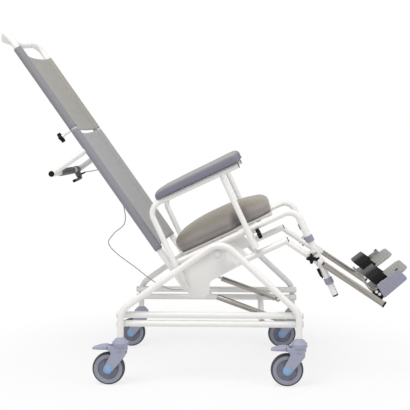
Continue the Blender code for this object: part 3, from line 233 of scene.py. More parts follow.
def base_place(points):
    """Points of the base, carried so that its pivot lies on the tilt axis."""
    return np.asarray(points, float) + (PIVOT[0] - PIVOT_X, 0.0, PIVOT[2] - PIVOT_Z)


def back_place(along, y, forward=0.0):
    """Points of the back in the level seat frame: up along its lean and ahead of it, square to the lean."""
    along, y, forward = np.broadcast_arrays(np.asarray(along, float), y, forward)
    c, s = math.cos(BACK_LEAN), math.sin(BACK_LEAN)
    return np.stack([BACK_FOOT[0] - along * s + forward * c, y, BACK_FOOT[1] + along * c + forward * s], -1)


def placed(shape, place):
    """A shape with its points carried by a function."""
    points, quads, ends = shape
    return place(points), quads, ends


def moved(shape, offset):
    """A shape carried by an offset."""
    return placed(shape, lambda points: points + np.asarray(offset, float))


def reordered(shape, order):
    """A shape with its axes in another order."""
    return placed(shape, lambda points: points[:, order])


def turned_to(shape, axis, at):
    """A shape written along +Y, turned so that +Y lies along the axis, with its origin at a point."""
    axis, upright, level = square_axes(axis)
    turn = np.stack([level, axis, upright])
    return placed(shape, lambda points: points @ turn + np.asarray(at, float))


def joined(*shapes):
    """Several shapes as one."""
    starts = np.cumsum([0] + [len(points) for points, quads, ends in shapes])
    points = np.concatenate([shape[0] for shape in shapes])
    quads = np.concatenate([shape[1] + start for shape, start in zip(shapes, starts)])
    ends = [np.asarray(end) + start for shape, start in zip(shapes, starts) for end in shape[2]]
    return points, quads, ends


def grid_quads(rows, columns, wrap_rows=False, wrap_columns=False):
    """Faces of a grid: each cell joins a point, its neighbours along the row and the column, and theirs."""
    r, c = np.meshgrid(np.arange(rows if wrap_rows else rows - 1),
                       np.arange(columns if wrap_columns else columns - 1), indexing="ij")
    r2, c2 = (r + 1) % rows, (c + 1) % columns
    cells = np.stack([r * columns + c, r * columns + c2, r2 * columns + c2, r2 * columns + c], -1)
    return cells.reshape(-1, 4)


def tube_grid(rings):
    """Rings of points, row by row, as a skin with a face on its first and last ring."""
    rows, columns = rings.shape[:2]
    ends = [np.arange(columns)[::-1], np.arange(columns) + (rows - 1) * columns]
    return rings.reshape(-1, 3), grid_quads(rows, columns, wrap_columns=True), ends


def arc(centre, radius, start, end, steps):
    """Points on a circle from one angle to another, in degrees."""
    a = np.radians(np.linspace(start, end, steps + 1))
    return np.stack([centre[0] + radius * np.cos(a), centre[1] + radius * np.sin(a)], -1)


def rounded(corners, radius, steps=12, closed=False):
    """A path through corner points. At each corner two tangent points lie radius over the tangent of the
    half angle away, and the arc between them turns about the point on the bisector at that radius."""
    corners = np.asarray(corners, float)
    radii = np.broadcast_to(np.asarray(radius, float), (len(corners),))
    t = np.linspace(0, 1, steps + 1)[:, None]
    run = []
    for i in range(len(corners)):
        if not closed and i in (0, len(corners) - 1):
            run.append(corners[i:i + 1])
            continue
        into = unit(corners[i - 1] - corners[i])
        out = unit(corners[(i + 1) % len(corners)] - corners[i])
        half = math.acos(np.clip(into @ out, -1, 1)) / 2
        centre = corners[i] + unit(into + out) * radii[i] / math.sin(half)
        start = unit(corners[i] + into * radii[i] / math.tan(half) - centre)
        end = unit(corners[i] + out * radii[i] / math.tan(half) - centre)
        angle = math.acos(np.clip(start @ end, -1, 1))
        between = (np.sin((1 - t) * angle) * start + np.sin(t * angle) * end) / math.sin(angle)
        run.append(centre + radii[i] * between)
    return np.concatenate(run)


def smooth_route(points, steps):
    """A curve through every point: between two, a cubic whose slopes are half the span of the neighbours."""
    points = np.asarray(points, float)
    longer = np.concatenate([2 * points[:1] - points[1:2], points, 2 * points[-1:] - points[-2:-1]])
    a, b, c, d = (longer[i:len(longer) - 3 + i, None] for i in range(4))
    t = np.linspace(0, 1, steps, endpoint=False)[None, :, None]
    bend, twist = 2 * a - 5 * b + 4 * c - d, 3 * b - a - 3 * c + d
    curve = 0.5 * (2 * b + (c - a) * t + bend * t ** 2 + twist * t ** 3)
    return np.concatenate([curve.reshape(-1, 3), points[-1:]])


def sweep(path, radius, reference, sides=None, bevel=0.0012):
    """A round bar: a circle carried along a path. Its first axis is the reference vector less its share
    along the path, the second is square to both, and the end rings are drawn in by the bevel."""
    path = np.asarray(path, float)
    sides = sides or bpy.context.scene.chair_sizes.tube_sides
    head, tail = unit(path[1] - path[0]), unit(path[-1] - path[-2])
    path = np.concatenate([path[:1], path[:1] + head * bevel, path[1:-1],
                           path[-1:] - tail * bevel, path[-1:]])
    radii = np.full(len(path), radius)
    radii[[0, -1]] -= bevel
    runs = unit(np.diff(path, axis=0))
    tangent = unit(np.concatenate([runs[:1], runs[:-1] + runs[1:], runs[-1:]]))
    reference = np.asarray(reference, float)
    first = unit(reference - (tangent @ reference)[:, None] * tangent)
    second = np.cross(tangent, first)
    a = full_turn(sides)[None, :, None]
    circles = np.cos(a) * first[:, None] + np.sin(a) * second[:, None]
    return tube_grid(path[:, None] + radii[:, None, None] * circles)


def lathe(profile, centre=ORIGIN, axis=ACROSS, sides=40, hollow=False):
    """A turned piece: pairs of radius and distance along the axis, carried round it. A hollow one joins its
    last ring to its first; any other has a flat face on both."""
    profile = np.asarray(profile, float)
    axis, first, second = square_axes(axis)
    a = full_turn(sides)[None, :, None]
    rings = (np.asarray(centre, float) + profile[:, 1, None, None] * axis
             + profile[:, 0, None, None] * (np.cos(a) * first + np.sin(a) * second))
    if hollow:
        return rings.reshape(-1, 3), grid_quads(len(profile), sides, True, True), []
    return tube_grid(rings)


def ring_profile(inner, outer, low, high, bevel, depth=None):
    """Profile of a flat ring between two radii and two distances along its axis. Its outer edges are drawn
    in by the bevel over a depth along the axis, the same as the bevel where none is given."""
    depth = depth or bevel
    return [(inner, low), (outer - bevel, low), (outer, low + depth),
            (outer, high - depth), (outer - bevel, high), (inner, high)]


def both_faces(half):
    """A profile whose second half mirrors the first in the middle of the axis."""
    return half + [(radius, -along) for radius, along in half[::-1]]


def weld_profile(radius):
    """A weld bead's section: a low round fillet from a tube's wall to the face that it meets."""
    return [(radius - 0.0006, -0.0005), (radius + 0.0026, -0.0005), (radius + 0.0022, 0.0010),
            (radius + 0.0010, 0.0022), (radius - 0.0006, 0.0030)]


def slab(outline, low, high, bevel=0.0010, steps=3):
    """A flat plate: an outline of X and Z pairs carried along Y, its edges rounded by a quarter circle:
    at each step the outline is drawn in along its own normals and the plate grows by the rest."""
    outline = np.asarray(outline, float)
    following = np.roll(outline, -1, 0)
    if (outline[:, 0] * following[:, 1] - following[:, 0] * outline[:, 1]).sum() < 0:
        outline = outline[::-1]
        following = np.roll(outline, -1, 0)
    run = unit(following - outline)
    normal = np.stack([run[:, 1], -run[:, 0]], -1)
    before = np.roll(normal, 1, 0)
    corner = (normal + before) / np.maximum(1 + (normal * before).sum(-1, keepdims=True), 0.35)
    low, high = min(low, high), max(low, high)
    a = np.linspace(0, np.pi / 2, steps + 1)
    inset = np.concatenate([bevel * (1 - np.sin(a)), bevel * (1 - np.sin(a[::-1]))])
    depth = np.concatenate([low + bevel * (1 - np.cos(a)), high - bevel * (1 - np.cos(a[::-1]))])
    flat = outline[None] - corner[None] * inset[:, None, None]
    rings = np.stack([flat[..., 0], np.broadcast_to(depth[:, None], flat.shape[:2]), flat[..., 1]], -1)
    return tube_grid(rings)


def side_slab(outline, sign, depths, bevel=0.0010, steps=3):
    """A slab between two distances from the middle, on the right for a negative sign."""
    return slab(outline, sign * depths[0], sign * depths[1], bevel, steps)


def loft(stations, power=2.6, around=48, steps=40):
    """A moulded form: at each station along X a centre height, half width and half height; between stations
    they change smoothly, and the section is a superellipse of the given power."""
    stations = np.asarray(stations, float)
    t = np.linspace(0, len(stations) - 1, steps)
    i = np.minimum(t.astype(int), len(stations) - 2)
    blend = (t - i)[:, None]
    blend = smoothstep(blend) * 0.5 + blend * 0.5
    x, middle, wide, high = (stations[i] * (1 - blend) + stations[i + 1] * blend).T[:, :, None]
    a = full_turn(around)[None]
    across = signed_power(np.cos(a), 2 / power)
    upward = signed_power(np.sin(a), 2 / power)
    return tube_grid(np.stack([x + 0 * a, wide * across, middle + high * upward], -1))


# Pieces

def make_piece(name, shape, material, body, *nodes, smooth=38, outward=True):
    """Puts a shape into a mesh, with its faces turned outwards, and lets it ride on a body."""
    points, quads, ends = shape
    mesh = bpy.data.meshes.new(name)
    mesh.from_pydata(points.tolist(), [], quads.tolist() + [end.tolist() for end in ends])
    if outward:
        bm = bmesh.new()
        bm.from_mesh(mesh)
        bmesh.ops.recalc_face_normals(bm, faces=bm.faces)
        bm.to_mesh(mesh)
        bm.free()
    mesh.shade_smooth()
    if smooth:
        mesh.set_sharp_from_angle(angle=math.radians(smooth))
    mesh.materials.append(finish(material))
    piece = bpy.data.objects.new(name, mesh)
    bpy.context.scene.collection.objects.link(piece)
    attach(piece, body)
    if nodes:
        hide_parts(*nodes)
    return piece


def base_piece(name, shape, material, *nodes):
    """A piece of the base, from a shape in the base's own place."""
    return make_piece(name, placed(shape, base_place), material, "base", *nodes)


def seat_piece(name, shape, material, body, *nodes, **options):
    """A piece of the seat unit, from a shape in the level seat frame."""
    return make_piece(name, placed(shape, seat_place), material, body, *nodes, **options)


def vertex_values(mesh, key):
    """A mesh's points or normals, one row for each point."""
    values = np.empty(len(mesh.vertices) * 3)
    mesh.vertices.foreach_get(key, values)
    return values.reshape(-1, 3)


def plug_shape(radius, at, axis, proud=0.003):
    """A tube plug: a flange that covers the wall, with a rounded edge and a low dome."""
    profile = [(radius * 0.80, -0.006), (radius * 0.82, 0.0), (radius * 0.99, 0.0002),
               (radius * 1.0, proud * 0.45), (radius * 0.93, proud * 0.80), (radius * 0.70, proud * 0.97),
               (radius * 0.05, proud)]
    return lathe(profile, at, axis, 32)


def knob_shape(axis, at):
    """A star knob: a circle whose radius swells four times round, carried along Y with a rounded edge, a
    raised boss in the middle of its face."""
    a = full_turn(96)
    radius = 0.020 * (0.77 + 0.23 * np.cos(4 * a))
    body = slab(np.stack([radius * np.cos(a), radius * np.sin(a)], -1), 0.0, 0.0155, 0.0042, 6)
    boss = lathe([(0.0085, 0.012), (0.0085, 0.0157), (0.0078, 0.0162), (0.0066, 0.0162), (0.0060, 0.0157),
                  (0.0020, 0.0157)], sides=32)
    return turned_to(joined(body, boss), axis, at)


def stud_shape(axis, at, stud):
    """A knob's stud with a chamfered tip, in front of a low collar under the knob."""
    profile = [(0.0028, -stud), (0.0037, -stud + 0.0009), (0.0037, -0.0030), (0.0072, -0.0028),
               (0.0078, 0.0020)]
    return turned_to(lathe(profile, sides=24), axis, at)


# Finishes

SLOTS = {"paint": "white_paint", "steel": "stainless", "rod": "stainless", "black": "black_plastic",
         "cushion": "seat_vinyl", "sling_lower": "sling_fabric", "sling_upper": "sling_fabric",
         "webbing": "black_webbing", "cable": "cable_grey",
         **dict.fromkeys(("tyre", "rim", "web"), "grey_tyre"),
         **dict.fromkeys(("fork", "cap", "pad", "tray", "grip", "board", "bracket"), "grey_plastic")}
DUST_COLOUR = (0.42, 0.40, 0.37, 1)
# painted shade in the gaps between the sling's threads
THREAD_GAP_SHADE = (0.45, 0.44, 0.44, 1)
STITCH_LENGTH = 0.0055
RIB_PITCH, TWILL_PITCH = 0.0030, 0.0022
ROD_COLOUR = (0.66, 0.66, 0.67)
GRIP_COLOUR = (0.16, 0.16, 0.17)
CABLE_COLOUR = (0.40, 0.40, 0.40)
BOARD_COLOUR = (0.62, 0.62, 0.60)
# how the lower sling and the wheel's web differ from the colours that they are made of, and how much lighter
# than the painted side shade the tray bracket is: its violet grey is that painted shade, brightened
LOWER_SLING_TINT = (1.10, 1.12, 1.22)
WEB_TINT = (0.60, 0.62, 0.66)
BRACKET_FROM_SHADE = (1.55, 1.55, 1.55)


def add_node(tree, kind, inputs=None, **settings):
    """A node with its settings; an input is a value or the socket that feeds it."""
    node = tree.nodes.new(kind)
    for key, value in settings.items():
        setattr(node, key, value)
    for key, value in (inputs or {}).items():
        if isinstance(value, bpy.types.NodeSocket):
            tree.links.new(value, node.inputs[key])
        else:
            node.inputs[key].default_value = value
    return node


def math_node(tree, operation, *values):
    """One step of arithmetic on values or sockets."""
    return add_node(tree, "ShaderNodeMath", dict(enumerate(values)), operation=operation).outputs[0]


def object_place(tree):
    """Each point's own coordinates."""
    return tree.nodes.new("ShaderNodeTexCoord").outputs["Object"]


def split(tree, vector):
    """A vector's X, Y and Z."""
    return add_node(tree, "ShaderNodeSeparateXYZ", {0: vector}).outputs


def noise(tree, place, scale, detail, rough=0.5):
    """The two outputs of a noise: Fac, a value round a half, and Color."""
    settings = {"Vector": place, "Scale": scale, "Detail": detail, "Roughness": rough}
    return add_node(tree, "ShaderNodeTexNoise", settings).outputs


def ranged(tree, value, start, end, to_start=0.0, to_end=1.0, kind="LINEAR"):
    """A value carried from one range to another and held inside it."""
    limits = {"Value": value, "From Min": start, "From Max": end, "To Min": to_start, "To Max": to_end}
    return add_node(tree, "ShaderNodeMapRange", limits, interpolation_type=kind).outputs[0]


def mixed_colour(tree, amount, first, second, kind="MIX"):
    """The first colour, turned into the second, or multiplied by it, by an amount. The colours are the
    seventh and eighth inputs of the node, and the result is its third output."""
    settings = {0: amount, 6: first, 7: second}
    return add_node(tree, "ShaderNodeMix", settings, data_type="RGBA", blend_type=kind).outputs[2]


def set_bump(tree, height, distance, strength):
    """Turns the shader's normals by a height."""
    bump = add_node(tree, "ShaderNodeBump", {"Height": height, "Distance": distance, "Strength": strength})
    tree.links.new(bump.outputs[0], tree.nodes["Principled BSDF"].inputs["Normal"])


def background_rays(tree):
    """One for the rays that show a background as it is: the camera's, and those of gloss and glass."""
    path = tree.nodes.new("ShaderNodeLightPath").outputs
    others = math_node(tree, "MAXIMUM", path["Is Glossy Ray"], path["Is Transmission Ray"])
    return math_node(tree, "MAXIMUM", path["Is Camera Ray"], others)


def make_group(name, inputs, outputs):
    """An empty node group with named inputs, each with its kind and default, and named outputs."""
    group = bpy.data.node_groups.new(name, "ShaderNodeTree")
    for label, kind, default in inputs:
        group.interface.new_socket(label, in_out="INPUT", socket_type=kind).default_value = default
    for label, kind in outputs:
        group.interface.new_socket(label, in_out="OUTPUT", socket_type=kind)
    return group, group.nodes.new("NodeGroupInput").outputs, group.nodes.new("NodeGroupOutput").inputs


def grain_group():
    """Moulded or coated surface: a fine noise for its height, a broad one that lightens and darkens the
    colour, and a middling one that changes the roughness and spots the lowest parts with dust."""
    if "surface_grain" in bpy.data.node_groups:
        return bpy.data.node_groups["surface_grain"]
    group, start, end = make_group("surface_grain", [
        ("Colour", "NodeSocketColor", (0.5, 0.5, 0.5, 1)), ("Scale", "NodeSocketFloat", 900.0),
        ("Mottle", "NodeSocketFloat", 0.06), ("Roughness", "NodeSocketFloat", 0.5),
        ("Unevenness", "NodeSocketFloat", 0.12), ("Dust", "NodeSocketFloat", 0.05)],
        [("Colour", "NodeSocketColor"), ("Roughness", "NodeSocketFloat"), ("Height", "NodeSocketFloat")])
    place = object_place(group)
    fine = noise(group, place, start["Scale"], 4.0)["Fac"]
    broad = noise(group, place, 23.0, 5.0, 0.6)["Fac"]
    middle = noise(group, place, 95.0, 3.0)["Fac"]
    swing = math_node(group, "MULTIPLY", math_node(group, "SUBTRACT", broad, 0.5), start["Mottle"])
    level = math_node(group, "MULTIPLY_ADD", swing, 2.0, 1.0)
    tone = add_node(group, "ShaderNodeCombineColor", {"Red": level, "Green": level, "Blue": level})
    shaded = mixed_colour(group, 1.0, start["Colour"], tone.outputs[0], "MULTIPLY")
    low = ranged(group, split(group, place)["Z"], 0.22, 0.0)
    specks = math_node(group, "MULTIPLY", low, middle)
    dust = math_node(group, "MULTIPLY", specks, start["Dust"])
    group.links.new(mixed_colour(group, dust, shaded, DUST_COLOUR), end["Colour"])
    spread = math_node(group, "MULTIPLY", math_node(group, "SUBTRACT", middle, 0.5), start["Unevenness"])
    group.links.new(math_node(group, "ADD", start["Roughness"], spread), end["Roughness"])
    group.links.new(fine, end["Height"])
    return group


def thread_group():
    """Woven cloth on a map in metres: two sets of round threads, a pitch apart, that pass over each other
    in turn; each thread's height is the size of a sine across it."""
    if "woven_threads" in bpy.data.node_groups:
        return bpy.data.node_groups["woven_threads"]
    group, start, end = make_group(
        "woven_threads", [("Map", "NodeSocketVector", (0, 0, 0)), ("Pitch", "NodeSocketFloat", 0.002)],
        [("Height", "NodeSocketFloat"), ("Gap", "NodeSocketFloat")])
    parts = split(group, start["Map"])
    counts = [math_node(group, "DIVIDE", parts[axis], start["Pitch"]) for axis in ("X", "Y")]
    waves = [math_node(group, "SINE", math_node(group, "MULTIPLY", count, math.pi)) for count in counts]
    signs = [math_node(group, "SIGN", wave) for wave in waves]
    over = math_node(group, "MULTIPLY", *signs)
    threads = []
    for wave, lift in zip(waves, (0.25, -0.25)):
        level = math_node(group, "MULTIPLY_ADD", over, lift, 0.75)
        threads.append(math_node(group, "MULTIPLY", math_node(group, "ABSOLUTE", wave), level))
    height = math_node(group, "MAXIMUM", *threads)
    group.links.new(height, end["Height"])
    group.links.new(math_node(group, "SUBTRACT", 1.0, height), end["Gap"])
    return group


def coated(name, colour, rough, scale=900.0, mottle=0.06, uneven=0.12, depth=0.0, dust=0.0, **shader):
    """A material on the surface grain, with a bump where the grain has a depth; the keywords are sockets of
    the shader itself."""
    material = bpy.data.materials.new(name)
    material.use_nodes = True
    tree = material.node_tree
    bsdf = tree.nodes["Principled BSDF"]
    grain = add_node(tree, "ShaderNodeGroup", {
        "Colour": (*colour, 1), "Scale": scale, "Mottle": mottle, "Roughness": rough, "Unevenness": uneven,
        "Dust": dust}, node_tree=grain_group(), name="grain")
    tree.links.new(grain.outputs["Colour"], bsdf.inputs["Base Color"])
    tree.links.new(grain.outputs["Roughness"], bsdf.inputs["Roughness"])
    if depth:
        set_bump(tree, grain.outputs["Height"], depth, 0.6)
    for label, value in shader.items():
        bsdf.inputs[label.replace("_", " ")].default_value = value
    return material


def brushed(name, colour, rough):
    """Satin steel: long thin noise streaks, laid along the lowered foot arms, in its height and roughness."""
    material = coated(name, colour, rough, mottle=0.10, Metallic=1.0)
    tree = material.node_tree
    along = add_node(tree, "ShaderNodeMapping", {
        "Vector": object_place(tree), "Rotation": (0, LEG_DROP - TILT, 0), "Scale": (14, 900, 900)})
    streaks = noise(tree, along.outputs[0], 1.0, 3.0)["Fac"]
    set_bump(tree, streaks, 0.00004, 0.5)
    uneven = ranged(tree, streaks, 0.0, 1.0, rough - 0.08, rough + 0.10)
    tree.links.new(uneven, tree.nodes["Principled BSDF"].inputs["Roughness"])
    return material


def shaded_sides(material, shade_colour):
    """Paints shade on a padded piece: its colour turns to the shade colour where its attribute named upper,
    the upward share of its surface in the level seat, is low, so its sides read darker and more violet than
    its top."""
    tree = material.node_tree
    grain = tree.nodes["grain"].inputs["Colour"]
    upper = add_node(tree, "ShaderNodeAttribute", attribute_name="upper").outputs["Fac"]
    amount = ranged(tree, upper, 0.15, 0.75, kind="SMOOTHSTEP")
    tree.links.new(mixed_colour(tree, amount, (*shade_colour, 1), tuple(grain.default_value)), grain)
    return material


def mark_upper(piece):
    """Stores each point's upward share, its normal's height in the level seat, which decides where the
    painted side shade goes.
    """
    upright = np.array((-math.sin(TILT), 0.0, math.cos(TILT)))
    share = vertex_values(piece.data, "normal") @ upright
    piece.data.attributes.new("upper", "FLOAT", "POINT").data.foreach_set("value", share)


def leather(name, colour):
    """Vinyl cover: cells of a Voronoi pattern raised between fine creases, over a slow unevenness."""
    material = coated(name, colour, 0.48, mottle=0.10, uneven=0.16, Coat_Weight=0.12, Coat_Roughness=0.35)
    tree = material.node_tree
    place = object_place(tree)
    wander = noise(tree, place, 160.0, 2.0)["Color"]
    shifted = add_node(tree, "ShaderNodeMix", {0: 0.012, 4: place, 5: wander}, data_type="VECTOR").outputs[1]
    cells = add_node(tree, "ShaderNodeTexVoronoi", {"Vector": shifted, "Scale": 430.0},
                     feature="DISTANCE_TO_EDGE")
    set_bump(tree, ranged(tree, cells.outputs["Distance"], 0.0, 0.16), 0.00035, 0.55)
    return material


def from_edge(tree, value, size):
    """The distance to the nearer end of a stretch: half its size less the distance from its middle."""
    aside = math_node(tree, "ABSOLUTE", math_node(tree, "SUBTRACT", value, size / 2))
    return math_node(tree, "SUBTRACT", size / 2, aside)


def stitch_row(tree, distance, at, along):
    """A row of stitches where a distance has one value, cut into dashes by a sine along it."""
    aside = math_node(tree, "ABSOLUTE", math_node(tree, "SUBTRACT", distance, at))
    line = ranged(tree, aside, 0.0006, 0.0012, 1.0, 0.0)
    wave = math_node(tree, "SINE", math_node(tree, "MULTIPLY", along, 2 * math.pi / STITCH_LENGTH))
    return math_node(tree, "MULTIPLY", line, math_node(tree, "GREATER_THAN", wave, -0.35))


def sling_cloth(name, colour, shade, width, length):
    """Back fabric on its own map, metres across and along: woven threads with painted shade in the gaps
    between them, two rows of stitches beside each sleeve, a doubled hem with one row of stitches at both
    ends, and painted violet shade over the sleeve bands at the outer edges."""
    material = coated(name, colour, 0.78, mottle=0.07, uneven=0.10, Sheen_Weight=0.18, Sheen_Roughness=0.5)
    tree = material.node_tree
    cloth_map = add_node(tree, "ShaderNodeUVMap", uv_map="cut").outputs[0]
    pitch = bpy.context.scene.chair_sizes.weave_pitch
    weave = add_node(tree, "ShaderNodeGroup", {"Map": cloth_map, "Pitch": pitch},
                     node_tree=thread_group()).outputs
    parts = split(tree, cloth_map)
    from_side = from_edge(tree, parts["X"], width)
    from_end = from_edge(tree, parts["Y"], length)
    sleeve_rows = [stitch_row(tree, from_side, SLEEVE_CUT + gap, parts["Y"]) for gap in (0.004, 0.010)]
    hem_row = stitch_row(tree, from_end, 0.020, parts["X"])
    sewn = math_node(tree, "MAXIMUM", math_node(tree, "MAXIMUM", *sleeve_rows), hem_row)
    hem = ranged(tree, from_end, 0.0225, 0.0240, 1.0, 0.0)
    # painted shade darkens the weave where the threads leave gaps
    gaps = math_node(tree, "MULTIPLY", weave["Gap"], 0.22)
    woven = mixed_colour(tree, gaps, tree.nodes["grain"].outputs["Colour"], THREAD_GAP_SHADE, "MULTIPLY")
    # painted shade: a band over each sleeve, round the uprights, turned toward the violet side shade
    outer = math_node(tree, "ABSOLUTE", math_node(tree, "SUBTRACT", from_side, 0.061))
    edge = ranged(tree, outer, 0.018, 0.034, 0.65, 0.0, "SMOOTHSTEP")
    shaded_sleeves = mixed_colour(tree, edge, woven, (*shade, 1))
    thread_colour = (*(min(1.0, c * 1.2) for c in colour), 1)
    stitched = mixed_colour(tree, math_node(tree, "MULTIPLY", sewn, 0.45), shaded_sleeves, thread_colour)
    tree.links.new(stitched, tree.nodes["Principled BSDF"].inputs["Base Color"])
    layers = [math_node(tree, "MULTIPLY", layer, share)
              for layer, share in ((weave["Height"], 0.30), (sewn, 0.6), (hem, 0.8))]
    height = math_node(tree, "ADD", layers[0], math_node(tree, "ADD", layers[1], layers[2]))
    set_bump(tree, height, 0.0007, 0.45)
    return material


def strap_webbing(name, colour):
    """Black webbing: ribs along the strap, crossed by a diagonal twill, both as sines of the place."""
    material = coated(name, colour, 0.36, mottle=0.18, uneven=0.10, Specular_IOR_Level=0.16)
    tree = material.node_tree
    level = add_node(tree, "ShaderNodeMapping", {
        "Vector": object_place(tree), "Rotation": (0, TILT + TOE_RISE, 0)}).outputs[0]
    parts = split(tree, level)
    slant = math_node(tree, "ADD", parts["X"], math_node(tree, "ADD", parts["Y"], parts["Z"]))
    ribs, twill = (math_node(tree, "SINE", math_node(tree, "MULTIPLY", value, 2 * math.pi / pitch))
                   for value, pitch in ((parts["X"], RIB_PITCH), (slant, TWILL_PITCH)))
    set_bump(tree, math_node(tree, "MULTIPLY_ADD", twill, 0.35, ribs), 0.0003, 0.6)
    return material


def tinted(colour, tint):
    """A colour with each channel multiplied by the tint's."""
    return tuple(c * t for c, t in zip(colour, tint))


def finish(name):
    """The material of a finish, made the first time that a piece asks for it."""
    label = "chair_" + name
    if label in bpy.data.materials:
        return bpy.data.materials[label]
    look = bpy.context.scene.chair_finish
    if name == "steel":
        return brushed(label, look.steel, 0.30)
    if name == "cushion":
        # painted shade on the cushion's sides: the side shade mixed into the vinyl's colour
        side = tuple(0.50 * c + 0.72 * t for c, t in zip(look.shade, look.cushion))
        return shaded_sides(leather(label, look.cushion), side)
    if name in ("sling_lower", "sling_upper"):
        lower = name == "sling_lower"
        low, high = LOWER_SLING if lower else UPPER_SLING
        colour = tinted(look.sling, LOWER_SLING_TINT) if lower else look.sling
        return sling_cloth(label, colour, look.shade, sling_width(), high - low)
    if name == "webbing":
        return strap_webbing(label, look.webbing)
    # colour, roughness, grain's scale, mottle, unevenness, grain's depth and dust
    plain = {"paint": (look.paint, 0.34, 1400.0, 0.03, 0.08, 0.00006, 0.35),
             "rod": (ROD_COLOUR, 0.16, 500.0, 0.05, 0.08, 0.00001, 0.0),
             "black": (look.black, 0.42, 700.0, 0.25, 0.14, 0.0001, 0.02),
             "fork": (look.fork, 0.46, 800.0, 0.08, 0.14, 0.0001, 0.15),
             "tyre": (look.tyre, 0.68, 420.0, 0.25, 0.14, 0.0002, 0.12),
             "rim": (look.rim, 0.48, 800.0, 0.08, 0.12, 0.0001, 0.15),
             "web": (tinted(look.rim, WEB_TINT), 0.50, 800.0, 0.12, 0.12, 0.0001, 0.15),
             "cap": (look.cap, 0.36, 900.0, 0.06, 0.10, 0.00006, 0.1),
             "pad": (look.pad, 0.52, 620.0, 0.07, 0.14, 0.00018, 0.0),
             "tray": (look.tray, 0.50, 520.0, 0.08, 0.14, 0.0002, 0.0),
             "grip": (GRIP_COLOUR, 0.62, 450.0, 0.12, 0.12, 0.0002, 0.0),
             "cable": (CABLE_COLOUR, 0.46, 900.0, 0.10, 0.10, 0.00005, 0.0),
             # the bracket and hanger collars: grey plastic coloured with the painted violet side shade,
             # brightened
             "bracket": (tinted(look.shade, BRACKET_FROM_SHADE), 0.46, 520.0, 0.07, 0.14, 0.0002, 0.0),
             "board": (BOARD_COLOUR, 0.55, 500.0, 0.10, 0.12, 0.0002, 0.0)}
    shader = {"paint": {"Coat_Weight": 0.25, "Coat_Roughness": 0.16}, "rod": {"Metallic": 1.0},
              "black": {"Specular_IOR_Level": 0.15}}
    material = coated(label, *plain[name], **shader.get(name, {}))
    # painted shade on the pad's sides, where the upward share is low
    return shaded_sides(material, look.shade) if name == "pad" else material


# Operators

class CHAIR_OT_stage(bpy.types.Operator):
    """Floor, soft light and the camera"""
    bl_idname = "chair.stage"
    bl_label = "Stage"

    def execute(self, context):
        scene = context.scene
        stage = scene.chair_stage
        scene.view_settings.view_transform = "Standard"
        camera = bpy.data.objects.new("camera", bpy.data.cameras.new("camera"))
        scene.collection.objects.link(camera)
        camera.location = stage.camera_at
        camera.rotation_euler = (math.radians(90.0 - stage.pitch), 0, math.radians(stage.yaw))
        camera.data.sensor_width = SENSOR_WIDTH
        camera.data.lens = stage.lens
        camera.data.shift_x, camera.data.shift_y = CAMERA_SHIFT
        scene.camera = camera
        self.sky(scene, stage)
        self.lamps(scene, stage)
        self.floor(scene, stage)
        return {"FINISHED"}

    def sky(self, scene, stage):
        """Even light from all round, behind which the background itself is white."""
        scene.world = bpy.data.worlds.new("studio")
        scene.world.use_nodes = True
        tree = scene.world.node_tree
        tree.nodes.clear()
        soft = add_node(tree, "ShaderNodeBackground", {"Color": SKY_COLOUR, "Strength": stage.sky_light})
        white = add_node(tree, "ShaderNodeBackground", {"Color": WHITE, "Strength": 1.0})
        mixed = add_node(tree, "ShaderNodeMixShader", {
            "Fac": background_rays(tree), 1: soft.outputs[0], 2: white.outputs[0]})
        add_node(tree, "ShaderNodeOutputWorld", {"Surface": mixed.outputs[0]})

    def lamps(self, scene, stage):
        """Large soft lamps, each turned toward the chair's middle."""
        for name, (at, share, size) in LAMPS.items():
            light = bpy.data.lights.new(name, "AREA")
            light.energy = stage.key_light * share
            light.size = size
            light.color = LAMP_COLOUR
            lamp = bpy.data.objects.new(name, light)
            scene.collection.objects.link(lamp)
            lamp.location = at
            toward = LIT_POINT - at
            lamp.rotation_euler = (math.acos(-toward[2] / np.linalg.norm(toward)), 0,
                                   math.atan2(toward[1], toward[0]) - math.pi / 2)

    def floor(self, scene, stage):
        """A flat floor that turns to plain white away from the chair."""
        count = 25
        x, y = np.meshgrid(np.linspace(-12, 12, count), np.linspace(-8, 24, count), indexing="ij")
        points = np.stack([x, y, 0 * x], -1).reshape(-1, 3)
        mesh = bpy.data.meshes.new("floor")
        mesh.from_pydata(points.tolist(), [], grid_quads(count, count)[:, ::-1].tolist())
        material = bpy.data.materials.new("pale_floor")
        material.use_nodes = True
        tree = material.node_tree
        bsdf = tree.nodes["Principled BSDF"]
        place = object_place(tree)
        cloud = ranged(tree, noise(tree, place, 3.0, 3.0)["Fac"], 0.0, 1.0, 0.985, 1.0)
        tone = mixed_colour(tree, cloud, (0.86, 0.86, 0.865, 1), (*stage.floor, 1))
        tree.links.new(tone, bsdf.inputs["Base Color"])
        bsdf.inputs["Roughness"].default_value = 0.7
        bsdf.inputs["Specular IOR Level"].default_value = 0.15
        far = add_node(tree, "ShaderNodeVectorMath", {0: place}, operation="LENGTH")
        fade = ranged(tree, far.outputs["Value"], 0.5, 1.3, kind="SMOOTHSTEP")
        white = add_node(tree, "ShaderNodeEmission", {"Color": WHITE, "Strength": 1.0})
        share = math_node(tree, "MULTIPLY_ADD", fade, 0.24, 0.76)
        amount = math_node(tree, "MULTIPLY", background_rays(tree), share)
        mixed = add_node(tree, "ShaderNodeMixShader", {
            "Fac": amount, 1: bsdf.outputs[0], 2: white.outputs[0]})
        tree.links.new(mixed.outputs[0], tree.nodes["Material Output"].inputs["Surface"])
        mesh.materials.append(material)
        floor = bpy.data.objects.new("floor", mesh)
        scene.collection.objects.link(floor)


